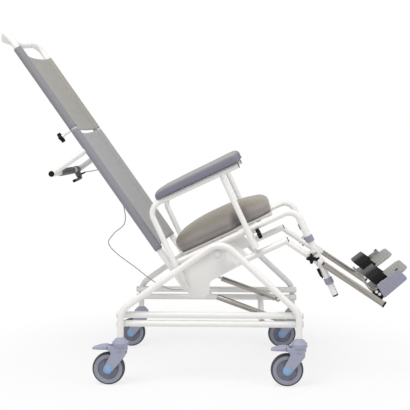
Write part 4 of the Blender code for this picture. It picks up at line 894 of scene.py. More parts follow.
class CHAIR_OT_cable(bpy.types.Operator):
    """The release cable, from the lever's housing to the side plate, with a sleeve at both ends"""
    bl_idname = "chair.cable"
    bl_label = "Release cable"

    SLEEVE = [(0.0021, -0.0004), (0.0036, -0.0004), (0.0038, 0.003), (0.0036, 0.012), (0.0029, 0.020),
              (0.0021, 0.024)]

    def execute(self, context):
        bar = back_place(PUSH_ALONG, 0.0, -PUSH_REACH)
        route = [(bar[0] + 0.0105, 0.185, bar[2] - 0.026), (bar[0] + 0.045, 0.180, bar[2] - 0.030),
                 (-0.318, 0.172, 0.470), (-0.322, 0.168, 0.330), (-0.350, 0.166, 0.245),
                 (-0.412, 0.165, 0.222), (-0.452, 0.164, 0.195), (-0.440, 0.164, 0.140),
                 (-0.392, 0.165, 0.050), (-0.345, 0.168, -0.040), (-0.290, 0.174, -0.105),
                 (-0.215, 0.192, -0.134), (-0.156, 0.2107, -0.109)]
        line = seat_place(smooth_route(route, 8))
        tube = sweep(line, CABLE_WIDTH / 2, ACROSS, 16, 0.0004)
        cable = make_piece("release_cable_sheath", tube, "cable", "seat", "release_cable")
        for name, start, inside in (("upper", line[0], line[6]), ("lower", line[-1], line[-7])):
            shape = lathe(self.SLEEVE, start, inside - start, 24, hollow=True)
            make_piece(f"cable_sleeve_{name}", shape, "black", "seat")
        return {"FINISHED"}


class CHAIR_OT_base(bpy.types.Operator):
    """The two bent side frames, the cross tube, the tube plugs and the tilt bolts"""
    bl_idname = "chair.base"
    bl_label = "Base frame"

    # a flat bead where a rail touches the leg that it crosses
    BEAD = [(0.0035, -0.0022), (0.0070, -0.0030), (0.0088, -0.0012), (0.0088, 0.0012), (0.0070, 0.0030),
            (0.0035, 0.0022)]
    SPRING_PIN = [(0.0050, SPRING_Y - 0.0098), (0.0056, SPRING_Y - 0.0090), (0.0050, SPRING_Y - 0.0082),
                  (0.0050, SPRING_Y + 0.0063), (0.0065, SPRING_Y + 0.0064), (0.0065, 0.2495),
                  (0.0100, 0.2495), (0.0100, 0.2515)]
    TILT_BOLT = [(0.0068, 0.2070), (0.0068, 0.2757), (0.0140, 0.2757), (0.0140, 0.2768), (0.0125, 0.2772),
                 (0.0125, 0.2805), (0.0116, 0.2822), (0.0085, 0.2828), (0.0080, 0.2810), (0.0010, 0.2810)]

    def execute(self, context):
        for side, sign in SIDES.items():
            base_piece(f"base_frame_{side}", self.side_frame(sign), "paint", f"base_side_frame_{side}")
            plugs = [plug_shape(TUBE_R, (end * RAIL_END, sign * RAIL_Y, z), (end, 0, 0))
                     for end in (-1, 1) for z in (LOWER_RAIL, UPPER_RAIL)]
            base_piece(f"rail_plugs_{side}", joined(*plugs), "paint")
            bolt = lathe(self.TILT_BOLT, (PIVOT_X, 0, PIVOT_Z), (0, sign, 0), 36)
            base_piece(f"tilt_bolt_{side}", bolt, "rod", f"pivot_bolt_{side}")
        half = RAIL_Y - TUBE_R - 0.0003
        tube = welded_tie(BASE_TIE_X, half, LOWER_RAIL, TUBE_R, 40)
        base_piece("base_tie_tube", tube, "paint", "base_cross_tube")
        return {"FINISHED"}

    def side_frame(self, sign):
        """A bent arch with two rails across its legs, a gusset round the pivot, a plate and pin for the gas
        spring, and the weld beads."""
        y, rail_y = sign * ARCH_Y, sign * RAIL_Y
        heights = (LOWER_RAIL, UPPER_RAIL)
        arch = [(-LEG_X, y, LEG_BOTTOM), (-LEG_X, y, REAR_BEND), (APEX[0], y, APEX[1]),
                (LEG_X, y, FRONT_BEND), (LEG_X, y, LEG_BOTTOM)]
        rails = [sweep([(-RAIL_END, rail_y, z), (RAIL_END, rail_y, z)], TUBE_R, ACROSS) for z in heights]
        gusset = np.concatenate([arc((PIVOT_X, PIVOT_Z), 0.026, 180, 360, 24),
                                 [(0.075, 0.5146), (PIVOT_X, 0.5276), (-0.025, 0.5011)]])
        foot = rounded([(0.247, 0.2155), (0.295, 0.2155), (0.287, 0.2735), (0.255, 0.2735)], 0.005, 5, True)
        beads = [lathe(self.BEAD, (x, (y + rail_y) / 2, z), (0, sign, 0), 28, True)
                 for x in (-LEG_X, LEG_X) for z in heights]
        return joined(sweep(rounded(arch, ARCH_BEND, 20), TUBE_R, ACROSS), *rails,
                      side_slab(gusset, sign, GUSSET_Y, 0.0012), side_slab(foot, sign, SPRING_PLATE_Y),
                      lathe(self.SPRING_PIN, SPRING_FOOT, (0, sign, 0), 28), *beads)


def welded_tie(x, half, z, radius, sides):
    """A tube across the chair, with a weld bead round both ends."""
    tube = sweep([(x, -half, z), (x, half, z)], radius, UPWARD)
    beads = [lathe(weld_profile(radius), (x, sign * half, z), (0, -sign, 0), sides, True) for sign in (-1, 1)]
    return joined(tube, *beads)


class CHAIR_OT_castors(bpy.types.Operator):
    """Four castors: moulded fork, axle caps, tyre, wheel centre and brake pedal"""
    bl_idname = "chair.castors"
    bl_label = "Castors"

    HEAD = [(0.0260, 0.1470), (0.0296, 0.1472), (0.0308, 0.1484), (0.0310, 0.1500), (0.0310, 0.1548),
            (0.0302, 0.1552), (0.0302, 0.1558), (0.0310, 0.1562), (0.0310, 0.1612), (0.0304, 0.1632),
            (0.0286, 0.1645), (0.0250, 0.1658), (0.0228, 0.1690), (0.0220, 0.1722), (0.0196, 0.1742),
            (0.0150, 0.1762), (0.0128, 0.1784)]
    NECK = [(0.0205, 0.1290), (0.0246, 0.1296), (0.0262, 0.1312), (0.0265, 0.1340), (0.0265, 0.1475)]
    CHEEK_EDGE = [(-0.032, 0.0508), (0.022, 0.115), (0.022, 0.149), (-0.046, 0.149), (-0.046, 0.135),
                  (-0.031, 0.125), (-0.058, 0.0727)]
    CHEEK_RADII = [0, 0.016, 0.002, 0.003, 0.004, 0.012, 0]
    CHEEK_Y = (0.018, 0.023)
    BOSS = [(0.0168, 0.0225), (0.0166, 0.0240), (0.0150, 0.0246)]
    AXLE = [(0.006, -0.019), (0.006, 0.019)]
    SLOT = [(-0.006, 0.1335), (0.006, 0.1335), (0.006, 0.1385), (-0.006, 0.1385)]
    CAP = [(0.0150, 0.0225), (0.0152, 0.0245), (0.0145, 0.0262), (0.0118, 0.0275), (0.0112, 0.0268),
           (0.0100, 0.0268), (0.0094, 0.0282), (0.0050, 0.0288), (0.0008, 0.0289)]
    # the outer ring between the web and the tyre, with a step on its face; and the dished web with its hub
    RING = [(0.0392, 0.0092), (0.0400, 0.0132), (0.0412, 0.0140), (0.0466, 0.0142), (0.0472, 0.0149),
            (0.0538, 0.0149), (0.0546, 0.0138)]
    WEB = [(0.0063, 0.0174), (0.0128, 0.0174), (0.0140, 0.0166), (0.0150, 0.0108), (0.0175, 0.0092),
           (0.0396, 0.0092)]
    RIB = [(0.0150, -0.0016), (0.0394, -0.0010), (0.0394, 0.0010), (0.0150, 0.0016)]
    RIB_Y = (0.0088, 0.0108)
    RIBS = 6
    WHEEL_SIDES = 72

    def execute(self, context):
        for name in CASTORS:
            swivel, axle, pedal = (np.array(JOINTS[f"{joint}_{name}"]["pos_m"])
                                   for joint in ("swivel", "roll", "brake"))
            hub = axle - swivel
            fork, wheel = f"fork_{name}", f"wheel_{name}"
            ring = self.wheel_part(both_faces(self.RING), hub)
            for label, shape, material, body, nodes in (
                    (fork, self.fork(hub), "fork", fork, [f"castor_fork_{name}"]),
                    (f"axle_caps_{name}", self.both_sides(self.CAP, hub), "cap", fork, []),
                    (f"tyre_{name}", self.tyre(hub), "tyre", wheel, [f"castor_wheel_{name}"]),
                    (f"wheel_ring_{name}", ring, "rim", wheel, []),
                    (f"wheel_web_{name}", self.web(hub), "web", wheel, [])):
                make_piece(label, moved(shape, swivel), material, body, *nodes)
            make_piece(f"pedal_{name}", moved(self.pedal(), pedal), "fork", f"pedal_{name}",
                       f"brake_pedal_{name}", smooth=50)
        return {"FINISHED"}

    def both_sides(self, profile, hub):
        """A turned piece on the axle, and its like on the other side."""
        return joined(*(lathe(profile, hub, (0, sign, 0), 40) for sign in (-1, 1)))

    def wheel_part(self, profile, hub):
        """A hollow piece turned about the axle."""
        return lathe(profile, hub, ACROSS, self.WHEEL_SIDES, True)

    def fork(self, hub):
        """A turned head with a split line, a neck, and two cheeks whose outline runs from the neck down to
        a round hub."""
        outline = np.concatenate([arc((hub[0], hub[2]), 0.017, 140, 320, 24),
                                  rounded(self.CHEEK_EDGE, self.CHEEK_RADII, 8)[1:-1]])
        cheeks = [side_slab(outline, sign, self.CHEEK_Y, 0.0016, 4) for sign in (-1, 1)]
        slot = slab(rounded(self.SLOT, 0.002, 4, True), 0.0255, 0.0272, 0.0006)
        return joined(lathe(self.HEAD, ORIGIN, UPWARD, 56), lathe(self.NECK, ORIGIN, UPWARD, 56), *cheeks,
                      self.both_sides(self.BOSS, hub), lathe(self.AXLE, hub, ACROSS, 24),
                      turned_to(slot, FORWARD, ORIGIN))

    def tyre(self, hub):
        """A tread with round shoulders, turned about the axle."""
        a = np.radians(np.linspace(-90, 90, 19))
        crown = np.stack([0.0547 + 0.0070 * np.abs(np.cos(a)) ** 0.6, 0.0150 * np.sin(a)], -1)
        inner = both_faces([(0.0536, 0.0140), (0.0530, 0.0120)])
        return self.wheel_part(np.concatenate([crown, inner]), hub)

    def web(self, hub):
        """A dished web with six shallow ribs on each face, and a hub that runs between the cheeks."""
        rib = rounded(self.RIB, 0.0006, 3, True)
        ribs = []
        for a in np.arange(self.RIBS) * 2 * math.pi / self.RIBS:
            turn = np.array(((math.cos(a), -math.sin(a)), (math.sin(a), math.cos(a))))
            ribs += [moved(side_slab(rib @ turn.T, sign, self.RIB_Y, 0.0006), hub) for sign in (-1, 1)]
        return joined(self.wheel_part(both_faces(self.WEB), hub), *ribs)

    def pedal(self):
        """A foot lever: deep between the cheeks, then a wide hood that thins and droops to its toe."""
        root = loft([(0.003, -0.003, 0.0172, 0.0062), (-0.0125, 0.001, 0.0172, 0.0105)], 7, 48, 10)
        hood = loft([(-0.0125, 0.0020, 0.0190, 0.0088), (-0.0150, 0.0024, 0.0226, 0.0100),
                     (-0.0280, 0.0022, 0.0230, 0.0094), (-0.0420, 0.0012, 0.0229, 0.0080),
                     (-0.0560, -0.0006, 0.0216, 0.0056), (-0.0660, -0.0022, 0.0178, 0.0036),
                     (-0.0702, -0.0028, 0.0120, 0.0020)], 3.4, 56, 60)
        return joined(root, hood)


class CHAIR_OT_springs(bpy.types.Operator):
    """The two gas springs: cylinders on the base and rods to the seat's side plates"""
    bl_idname = "chair.springs"
    bl_label = "Gas springs"

    SHELL = [(0.0056, 0.0102), (0.0066, 0.0105), (0.0070, 0.0110), (0.0070, 0.0130), (0.0098, 0.0150),
             (0.0108, 0.0180), (0.0110, 0.0210), (0.0110, 0.2560), (0.0106, 0.2568), (0.0106, 0.2578),
             (0.0110, 0.2586), (0.0109, 0.2604), (0.0098, 0.2618), (0.0058, 0.2620)]
    CYLINDER_EYE = ring_profile(0.0056, 0.0110, -0.006, 0.006, 0.0005)
    ROD_EYE = ring_profile(0.0082, 0.0135, -0.006, 0.006, 0.0005)

    def execute(self, context):
        lug = seat_place((SPRING_LUG[0], 0.0, SPRING_LUG[1]))
        foot = base_place(SPRING_FOOT)
        length = np.linalg.norm(lug - foot)
        axis = (lug - foot) / length
        end = length - 0.0105
        rod = [(0.0050, 0.0700), (0.0050, end - 0.0145), (0.0065, end - 0.0140), (0.0065, end - 0.0005),
               (0.0060, end)]
        for side, sign in SIDES.items():
            at, tip = (point + (0, sign * SPRING_Y, 0) for point in (foot, lug))
            for part, profile, sides, eye, eye_at, material in (
                    ("cylinder", self.SHELL, 40, self.CYLINDER_EYE, at, "steel"),
                    ("rod", rod, 32, self.ROD_EYE, tip, "rod")):
                shape = joined(lathe(profile, at, axis, sides), lathe(eye, eye_at, ACROSS, 36, True))
                make_piece(f"spring_{part}_{side}", shape, material, f"spring_{part}s", f"gas_{part}_{side}")
        return {"FINISHED"}


class CHAIR_OT_seat_frame(bpy.types.Operator):
    """The seat's side frames with their plates, bosses, sockets and pins, the cross tubes and the board"""
    bl_idname = "chair.seat_frame"
    bl_label = "Seat frame"

    PIVOT_BOSS = [(0.0155, 0.2140), (0.0155, 0.2410), (0.0205, 0.2416), (0.0210, 0.2424), (0.0210, 0.2690),
                  (0.0204, 0.2702), (0.0075, 0.2702)]
    LUG_PIN = [(0.0045, 0.1955), (0.0050, 0.1962), (0.0050, 0.2155)]
    LEG_PIN = [(0.0060, 0.2275), (0.0060, 0.2468), (0.0098, 0.2468), (0.0098, 0.2495), (0.0090, 0.2515),
               (0.0060, 0.2525)]
    ARM_SOCKET = ring_profile(0.0116, 0.0136, -0.041, 0.042, 0.0006)
    COLLAR = ring_profile(0.0129, 0.0165, -0.012, 0.012, 0.0007, 0.0008)
    HANGER_TIP = [(0.0112, 0.0003), (0.0118, 0.0010), (0.0117, 0.0036), (0.0098, 0.0058), (0.0060, 0.0068),
                  (0.0006, 0.0070)]
    # the side plate, from the back's foot, round the spring lug, to the lower rail and up
    PLATE = [(-0.172, -0.085), (-0.166, -0.121), (-0.1216, -0.1326), (-0.0980, -0.1295), (-0.077, -0.089),
             (0.085, -0.079), (0.100, -0.055), (0.062, 0.033), (-0.156, 0.033)]
    PLATE_RADII = [0.010, 0.008, 0.010, 0.010, 0.020, 0.006, 0.008, 0.010, 0.006]
    BOARD = [(-0.138, -0.205), (0.250, -0.205), (0.250, 0.205), (-0.138, 0.205)]
    # each cross tube's place along the seat and its half length
    TIES = {"rear": (-0.120, 0.2127), "front": (0.235, 0.2147)}

    def execute(self, context):
        for side, sign in SIDES.items():
            y = sign * SEAT_Y
            seat_piece(f"seat_frame_{side}", self.side_frame(sign), "paint", "seat",
                       f"seat_side_frame_{side}")
            for name, z, nodes in (("sleeve", HANGER_COLLAR, [f"hanger_collar_{side}"]),
                                   ("band", HANGER_BAND, [])):
                collar = lathe(self.COLLAR, (HANGER_X, y, z), UPWARD, 40, True)
                seat_piece(f"hanger_{name}_{side}", collar, "bracket", "seat", *nodes)
            tip = lathe(self.HANGER_TIP, (HANGER_X, y, HANGER_END), (0, 0, -1), 36)
            seat_piece(f"hanger_tip_{side}", tip, "black", "seat", f"hanger_plug_{side}")
            plug = plug_shape(TUBE_R, (LOWER_RAIL_END, y, LOWER_SEAT_RAIL), (1, 0, 0))
            seat_piece(f"seat_rail_plug_{side}", plug, "black", "seat")
        for name, (x, half) in self.TIES.items():
            tube = welded_tie(x, half, SEAT_RAIL, THIN_TUBE_R, 36)
            seat_piece(f"seat_tie_{name}", tube, "paint", "seat", f"seat_cross_tube_{name}")
        board = slab(rounded(self.BOARD, 0.018, 8, True), 0.0439, 0.0517, 0.0015)
        seat_piece("seat_base_board", reordered(board, [0, 2, 1]), "board", "seat", "seat_board")
        return {"FINISHED"}

    def side_frame(self, sign):
        """The seat tube that bends down into the hanger, the lower rail and strut, the side plate, the pivot
        boss, the pins, and the two arm sockets with the lugs that hold them."""
        y = sign * SEAT_Y
        outward = (0, sign, 0)
        rail_rear = float(back_place((SEAT_RAIL - BACK_FOOT[1]) / math.cos(BACK_LEAN), 0.0)[0])
        strut_end = LOWER_SEAT_RAIL - (HANGER_X - STRUT_X) * math.tan(LEG_DROP)
        rail = [(rail_rear, y, SEAT_RAIL), (HANGER_X, y, SEAT_RAIL), (HANGER_X, y, HANGER_END)]
        lower = [(LOWER_RAIL_START, y, LOWER_SEAT_RAIL), (LOWER_RAIL_END, y, LOWER_SEAT_RAIL)]
        strut = [(STRUT_X, y, LOWER_SEAT_RAIL), (HANGER_X, y, strut_end)]
        plate = rounded(self.PLATE, self.PLATE_RADII, 6, True)
        sockets = [lathe(self.ARM_SOCKET, (x, sign * ARM_Y, 0), UPWARD, 40, True) for x in SOCKETS]
        lugs = [side_slab([(x - 0.004, -0.030), (x + 0.004, -0.030), (x + 0.004, 0.036), (x - 0.004, 0.036)],
                          sign, (0.2375, 0.2420)) for x in SOCKETS]
        return joined(sweep(rounded(rail, HANGER_BEND, 20), TUBE_R, ACROSS), sweep(lower, TUBE_R, ACROSS),
                      sweep(strut, THIN_TUBE_R, ACROSS), side_slab(plate, sign, SIDE_PLATE_Y, 0.0012),
                      lathe(self.PIVOT_BOSS, ORIGIN, outward, 44),
                      lathe(self.LUG_PIN, (SPRING_LUG[0], 0, SPRING_LUG[1]), outward, 28),
                      lathe(self.LEG_PIN, (LEG_PIVOT[0], 0, LEG_PIVOT[1]), outward, 36), *sockets, *lugs)


def cushion_shape(swell):
    """The seat cushion before it swells: superellipse rings that widen and draw in as they rise along a
    quarter-round edge, then close over a dome; the long sides are drawn in between the corners."""
    a = full_turn(120)[None]
    cx = signed_power(np.cos(a), 0.42)
    cy = signed_power(np.sin(a), 0.42)
    edge, crown = 0.066 - swell, 0.022
    # up the side: the share of the edge's height and of the full width
    side = np.array([(0.0, 0.955), (0.12, 0.98), (0.3, 0.995), (0.5, 1.0), (0.7, 0.992), (0.84, 0.965),
                     (0.93, 0.92), (0.98, 0.87), (1.0, 0.82)])
    shrink = np.linspace(0.76, 0.04, 14)
    size = np.concatenate([side[:, 1], shrink])[:, None]
    rise = np.concatenate([side[:, 0] * edge, edge + crown * (1 - (shrink / side[-1, 1]) ** 2)])[:, None]
    tuck = 0.012 * (1 - np.abs(cx) ** 2) * np.abs(cy) * np.minimum(size / 0.8, 1)
    x = CUSHION_MIDDLE + (CUSHION_HALF[0] - swell) * size * cx
    y = (CUSHION_HALF[1] - swell) * size * cy - np.sign(cy) * tuck
    front = np.clip((x - 0.10) / 0.168, 0, 1)
    z = CUSHION_FLOOR + rise * (1 - 0.05 * front ** 2.2)
    return tube_grid(np.stack([x, y, z + 0 * a], -1))


def swell_cover(piece, pressure, limit):
    """Blows the cover up with a cloth simulation, with no weight, and holds each point to the limit."""
    frames = 20
    rest = vertex_values(piece.data, "co")
    cloth = piece.modifiers.new("swell", "CLOTH")
    cloth.settings.use_pressure = True
    cloth.settings.uniform_pressure_force = pressure
    cloth.settings.effector_weights.gravity = 0.0
    cloth.settings.quality = 5
    cloth.point_cache.frame_start = 1
    cloth.point_cache.frame_end = frames
    scene = bpy.context.scene
    for number in range(1, frames + 1):
        scene.frame_set(number)
    swollen = piece.evaluated_get(bpy.context.evaluated_depsgraph_get())
    step = vertex_values(swollen.to_mesh(), "co") - rest
    swollen.to_mesh_clear()
    piece.modifiers.remove(cloth)
    scene.frame_set(1)
    size = np.linalg.norm(step, axis=1, keepdims=True)
    return rest + step * np.minimum(1.0, limit / np.maximum(size, 1e-9))


class CHAIR_OT_cushion(bpy.types.Operator):
    """The seat cushion: a swollen vinyl cover with a seam round its side and a notch in its right side"""
    bl_idname = "chair.cushion"
    bl_label = "Seat cushion"

    SEAM_HEIGHT, SEAM_WIDTH, SEAM_DEPTH = 0.020, 0.0035, 0.0035
    # the cover's lower edge, wrapped over the board's: how far it drops, and the height that it starts from
    WRAP_DROP, WRAP_HEIGHT = 0.0083, 0.030

    def execute(self, context):
        sizes = context.scene.chair_sizes
        shape = cushion_shape(sizes.swell_limit * 0.8)
        piece = make_piece("seat_pad_cover", shape, "cushion", "seat", "seat_cushion", smooth=0)
        self.remesh(piece, sizes.remesh)
        points = swell_cover(piece, sizes.swell_pressure, sizes.swell_limit)
        piece.data.vertices.foreach_set("co", seat_place(self.sewn(points)).ravel())
        piece.data.update()
        piece.data.shade_smooth()
        mark_upper(piece)
        smooth = piece.modifiers.new("smooth", "SUBSURF")
        smooth.levels = smooth.render_levels = 1
        return {"FINISHED"}

    def remesh(self, piece, size):
        """Even square faces over the whole cover."""
        modifier = piece.modifiers.new("even", "REMESH")
        modifier.mode = "VOXEL"
        modifier.voxel_size = size
        graph = bpy.context.evaluated_depsgraph_get()
        mesh = bpy.data.meshes.new_from_object(piece.evaluated_get(graph))
        piece.modifiers.clear()
        piece.data = mesh

    def sewn(self, points):
        """Flat underneath; the right side drawn in by a bell curve along the notch, which fades toward the
        chair's middle; the lower edge dropped over the board's; and near the seam's height points moved
        inward by a bell curve too."""
        x, y, z = points.T
        z = np.maximum(z, CUSHION_FLOOR)
        height = z - CUSHION_FLOOR
        pull = self.SEAM_DEPTH * np.exp(-((height - self.SEAM_HEIGHT) / self.SEAM_WIDTH) ** 2)
        side = np.clip((-y - NOTCH_END) / (CUSHION_HALF[1] - NOTCH_END), 0, 1)
        y = y + NOTCH_DEPTH * np.exp(-((x - NOTCH_AT) / NOTCH_WIDTH) ** 2) * smoothstep(side)
        out = np.stack([(x - CUSHION_MIDDLE) / CUSHION_HALF[0], y / CUSHION_HALF[1]], -1)
        over = np.clip((np.abs(out).max(axis=1) - 0.93) / 0.04, 0, 1)
        low = np.clip(1 - height / self.WRAP_HEIGHT, 0, 1)
        z = z - self.WRAP_DROP * smoothstep(over) * low
        out = out / np.maximum(np.linalg.norm(out, axis=1, keepdims=True), 1e-6)
        return np.stack([x - pull * out[:, 0], y - pull * out[:, 1], z], -1)


class CHAIR_OT_back(bpy.types.Operator):
    """The back frame with its top hoop, push arms and push bar, the grip, the housing and the lever"""
    bl_idname = "chair.back"
    bl_label = "Back frame and push bar"

    GRIP_HALF, GRIP_R, GRIP_RIB, GRIP_PITCH, GRIP_BORE = 0.110, 0.0146, 0.0004, 0.0100, 0.0118
    CLAMP = ring_profile(0.0119, 0.0160, 0.166, 0.202, 0.0008)
    BLOCK_LOW, BLOCK_HIGH, BLOCK_Y = -0.036, -0.0125, (0.167, 0.201)
    LEVER = [(0.006, 0.004), (0.006, -0.004), (-0.039, -0.008), (-0.130, -0.012), (-0.136, -0.006),
             (-0.130, 0.000), (-0.042, 0.002), (-0.024, 0.0), (0.0, 0.004)]
    LEVER_RADII = [0.002, 0.002, 0.02, 0.003, 0.003, 0.003, 0.02, 0.02, 0.003]
    LEVER_HINGE = (0.190, -0.0043)

    def execute(self, context):
        bar = back_place(PUSH_ALONG, 0.0, -PUSH_REACH)
        seat_piece("back_loop", self.loop(bar), "paint", "seat", "back_frame")
        caps = [plug_shape(PUSH_R, bar + (0, sign * PUSH_BAR_HALF, 0), (0, sign, 0), 0.004)
                for sign in (-1, 1)]
        seat_piece("push_bar_plugs", joined(*caps), "black", "seat")
        seat_piece("bar_grip", lathe(self.grip(), bar, ACROSS, 44, True), "grip", "seat", "push_grip")
        low, high = bar[2] + self.BLOCK_LOW, bar[2] + self.BLOCK_HIGH
        block = [(bar[0] - 0.008, low), (bar[0] + 0.008, low), (bar[0] + 0.010, high), (bar[0] - 0.010, high)]
        housing = joined(lathe(self.CLAMP, (bar[0], 0, bar[2]), ACROSS, 40, True),
                         slab(rounded(block, 0.0015, 4, True), *self.BLOCK_Y, 0.0015))
        seat_piece("release_block", housing, "grip", "seat", "release_housing")
        lever = slab(rounded(self.LEVER, self.LEVER_RADII, 5, True), -0.007, 0.007, 0.0022, 4)
        hinge = bar[0], self.LEVER_HINGE[0], low + self.LEVER_HINGE[1]
        seat_piece("squeeze_lever", moved(reordered(lever, [1, 0, 2]), hinge), "black", "release_lever",
                   "release_lever")
        return {"FINISHED"}

    def loop(self, bar):
        """The uprights and hoop as one bent tube, the push arms with a weld bead each, and the push bar."""
        hoop = BACK_LENGTH + 0.010
        corners = back_place([0, BACK_LENGTH, hoop, hoop, BACK_LENGTH, 0],
                             np.array([-1, -1, -0.45, 0.45, 1, 1]) * SEAT_Y,
                             np.array([0, 0, -0.045, -0.045, 0, 0]))
        ahead = (math.cos(BACK_LEAN), 0.0, math.sin(BACK_LEAN))
        root = back_place(PUSH_ALONG, 0.0, 0.0)
        shapes = [sweep(rounded(corners, 0.050, 16), TUBE_R, ahead)]
        for sign in SIDES.values():
            aside = (0, sign * SEAT_Y, 0)
            shapes.append(sweep([root + aside, bar + aside], PUSH_R, ACROSS))
            bead_at = bar + aside + unit(root - bar) * (PUSH_R - 0.001)
            shapes.append(lathe(weld_profile(PUSH_R), bead_at, root - bar, 36, True))
        shapes.append(sweep([bar + (0, -PUSH_BAR_HALF, 0), bar + (0, PUSH_BAR_HALF, 0)], PUSH_R, UPWARD))
        return joined(*shapes)

    def grip(self):
        """Profile of the grip: a sleeve whose radius ripples along it as a cosine, drawn in at both ends."""
        along = np.linspace(-self.GRIP_HALF, self.GRIP_HALF, 89)
        radius = self.GRIP_R + self.GRIP_RIB * np.cos(along * 2 * np.pi / self.GRIP_PITCH)
        radius[[0, -1]] = 0.0136
        bore = [(self.GRIP_BORE, self.GRIP_HALF), (self.GRIP_BORE, -self.GRIP_HALF)]
        return np.concatenate([np.stack([radius, along], -1), bore])


def sling_section(sag):
    """Across a sling: a lap on the web's front, round one upright to its inner side, a web that hangs behind
    as a cosine, and the same round the other upright. Pairs of distance ahead of the back and Y."""
    a = np.radians(np.linspace(0, SLEEVE_TURN, 53))
    loop = np.concatenate([np.stack([-SLEEVE_R * np.sin(a), SLEEVE_R * np.cos(a)], -1), SLEEVE_LAP])
    right = loop[::-1] + (0.0, -SEAT_Y)
    left = loop * (1.0, -1.0) + (0.0, SEAT_Y)
    half = SEAT_Y - SLEEVE_R
    y = np.linspace(-half, half, 66)[1:-1]
    web = np.stack([-sag * np.cos(np.pi * y / (2 * half)), y], -1)
    return np.concatenate([right, web, left])


def distances(points):
    """How far along a run of points each one lies."""
    return np.concatenate([[0], np.cumsum(np.linalg.norm(np.diff(points, axis=0), axis=1))])


def sling_width():
    """The cloth's width: how long a sling's section is."""
    return float(distances(sling_section(bpy.context.scene.chair_sizes.sling_sag))[-1])


class CHAIR_OT_slings(bpy.types.Operator):
    """The two fabric slings of the back, each sleeved on both uprights"""
    bl_idname = "chair.slings"
    bl_label = "Back slings"

    def execute(self, context):
        section = sling_section(context.scene.chair_sizes.sling_sag)
        across = distances(section)
        ahead, y = section.T[:, None]
        # one in the middle of the web and none at its sides
        middle = np.cos(np.pi * np.clip(y / (SEAT_Y - SLEEVE_R), -1, 1) / 2)
        for name, (low, high) in (("lower", LOWER_SLING), ("upper", UPPER_SLING)):
            along = np.linspace(low, high, 61)[:, None]
            end = np.abs(2 * (along - low) / (high - low) - 1)
            hang = ahead * (0.82 + 0.18 * (1 - end ** 3) * middle + 0.18 * (1 - middle))
            creep = 0.004 * middle * (end ** 4) * np.sign(along - (low + high) / 2)
            points = back_place(along - creep, y, hang)
            shape = points.reshape(-1, 3), grid_quads(*points.shape[:2]), []
            piece = seat_piece(f"back_fabric_{name}", shape, f"sling_{name}", "seat", f"back_sling_{name}",
                               smooth=0, outward=False)
            self.lay_out(piece, np.stack(np.broadcast_arrays(across, along - low), -1).reshape(-1, 2))
            wall = piece.modifiers.new("cloth_thickness", "SOLIDIFY")
            wall.thickness = 0.0018
            wall.offset = 0.0
        return {"FINISHED"}

    def lay_out(self, piece, cut):
        """Gives the cloth its flat map: metres across and along, at each corner of each face."""
        order = np.empty(len(piece.data.loops), int)
        piece.data.loops.foreach_get("vertex_index", order)
        piece.data.uv_layers.new(name="cut").data.foreach_set("uv", cut[order].ravel())


class CHAIR_OT_armrests(bpy.types.Operator):
    """The armrest tubes, their moulded pads and front plugs"""
    bl_idname = "chair.armrests"
    bl_label = "Armrests"

    PAD_START, PAD_LENGTH, PAD_HALF, PAD_HEIGHT, PAD_GAP = -0.124, 0.347, 0.029, 0.042, 0.0113
    # along the pad: the share of its length, of its half width and of its height
    PAD_STATIONS = [(0.0, 0.22, 0.24), (0.006, 0.40, 0.42), (0.03, 0.64, 0.64), (0.08, 0.84, 0.80),
                    (0.20, 0.98, 0.94), (0.40, 1.0, 0.98), (0.62, 1.0, 1.01), (0.85, 1.0, 1.06),
                    (0.93, 0.985, 1.05), (0.968, 0.93, 0.99), (0.988, 0.82, 0.88), (1.0, 0.62, 0.68)]
    # the share of the pad's height that lies below its shoulder, and above it
    PAD_LOWER, PAD_UPPER = 0.30, 0.70

    def execute(self, context):
        for side, sign in SIDES.items():
            y, body = sign * ARM_Y, f"armrest_{side}"
            top = [(SOCKETS[0], y, ARM_FOOT), (SOCKETS[0], y, ARM_TOP), (ARM_FRONT, y, ARM_TOP)]
            post = [(SOCKETS[1], y, ARM_FOOT), (SOCKETS[1], y, ARM_TOP)]
            tubes = joined(*(sweep(path, THIN_TUBE_R, ACROSS) for path in (rounded(top, 0.050, 18), post)))
            seat_piece(f"arm_tube_{side}", tubes, "paint", body, f"armrest_tube_{side}")
            plug = plug_shape(THIN_TUBE_R, (ARM_FRONT, y, ARM_TOP), (1, 0, 0))
            seat_piece(f"arm_plug_{side}", plug, "black", body)
            pad = seat_piece(f"arm_cushion_{side}", self.pad(y), "pad", body, f"armrest_pad_{side}",
                             smooth=60)
            mark_upper(pad)
        return {"FINISHED"}

    def pad(self, y):
        """A moulded pad: along its length the width and height follow its stations; in section the lower half
        is square-shouldered and flat, the upper half a full dome."""
        t = np.concatenate([np.linspace(0, 0.08, 14)[:-1], np.linspace(0.08, 0.90, 40)[:-1],
                            np.linspace(0.90, 1.0, 18)])
        along, *shares = np.array(self.PAD_STATIONS).T
        wide, high = (np.interp(t, along, share)[:, None] for share in shares)
        a = full_turn(72)[None]
        below = np.sin(a) < 0
        across = signed_power(np.cos(a), np.where(below, 0.34, 0.72))
        upward = np.where(below, -np.abs(np.sin(a)) ** 0.34 * self.PAD_LOWER,
                          np.abs(np.sin(a)) ** 0.80 * self.PAD_UPPER)
        x = self.PAD_START + self.PAD_LENGTH * t[:, None] + 0 * a
        z = ARM_TOP + self.PAD_GAP + high * self.PAD_HEIGHT * (self.PAD_LOWER + upward)
        return tube_grid(np.stack([x, y + wide * self.PAD_HALF * across, z], -1))


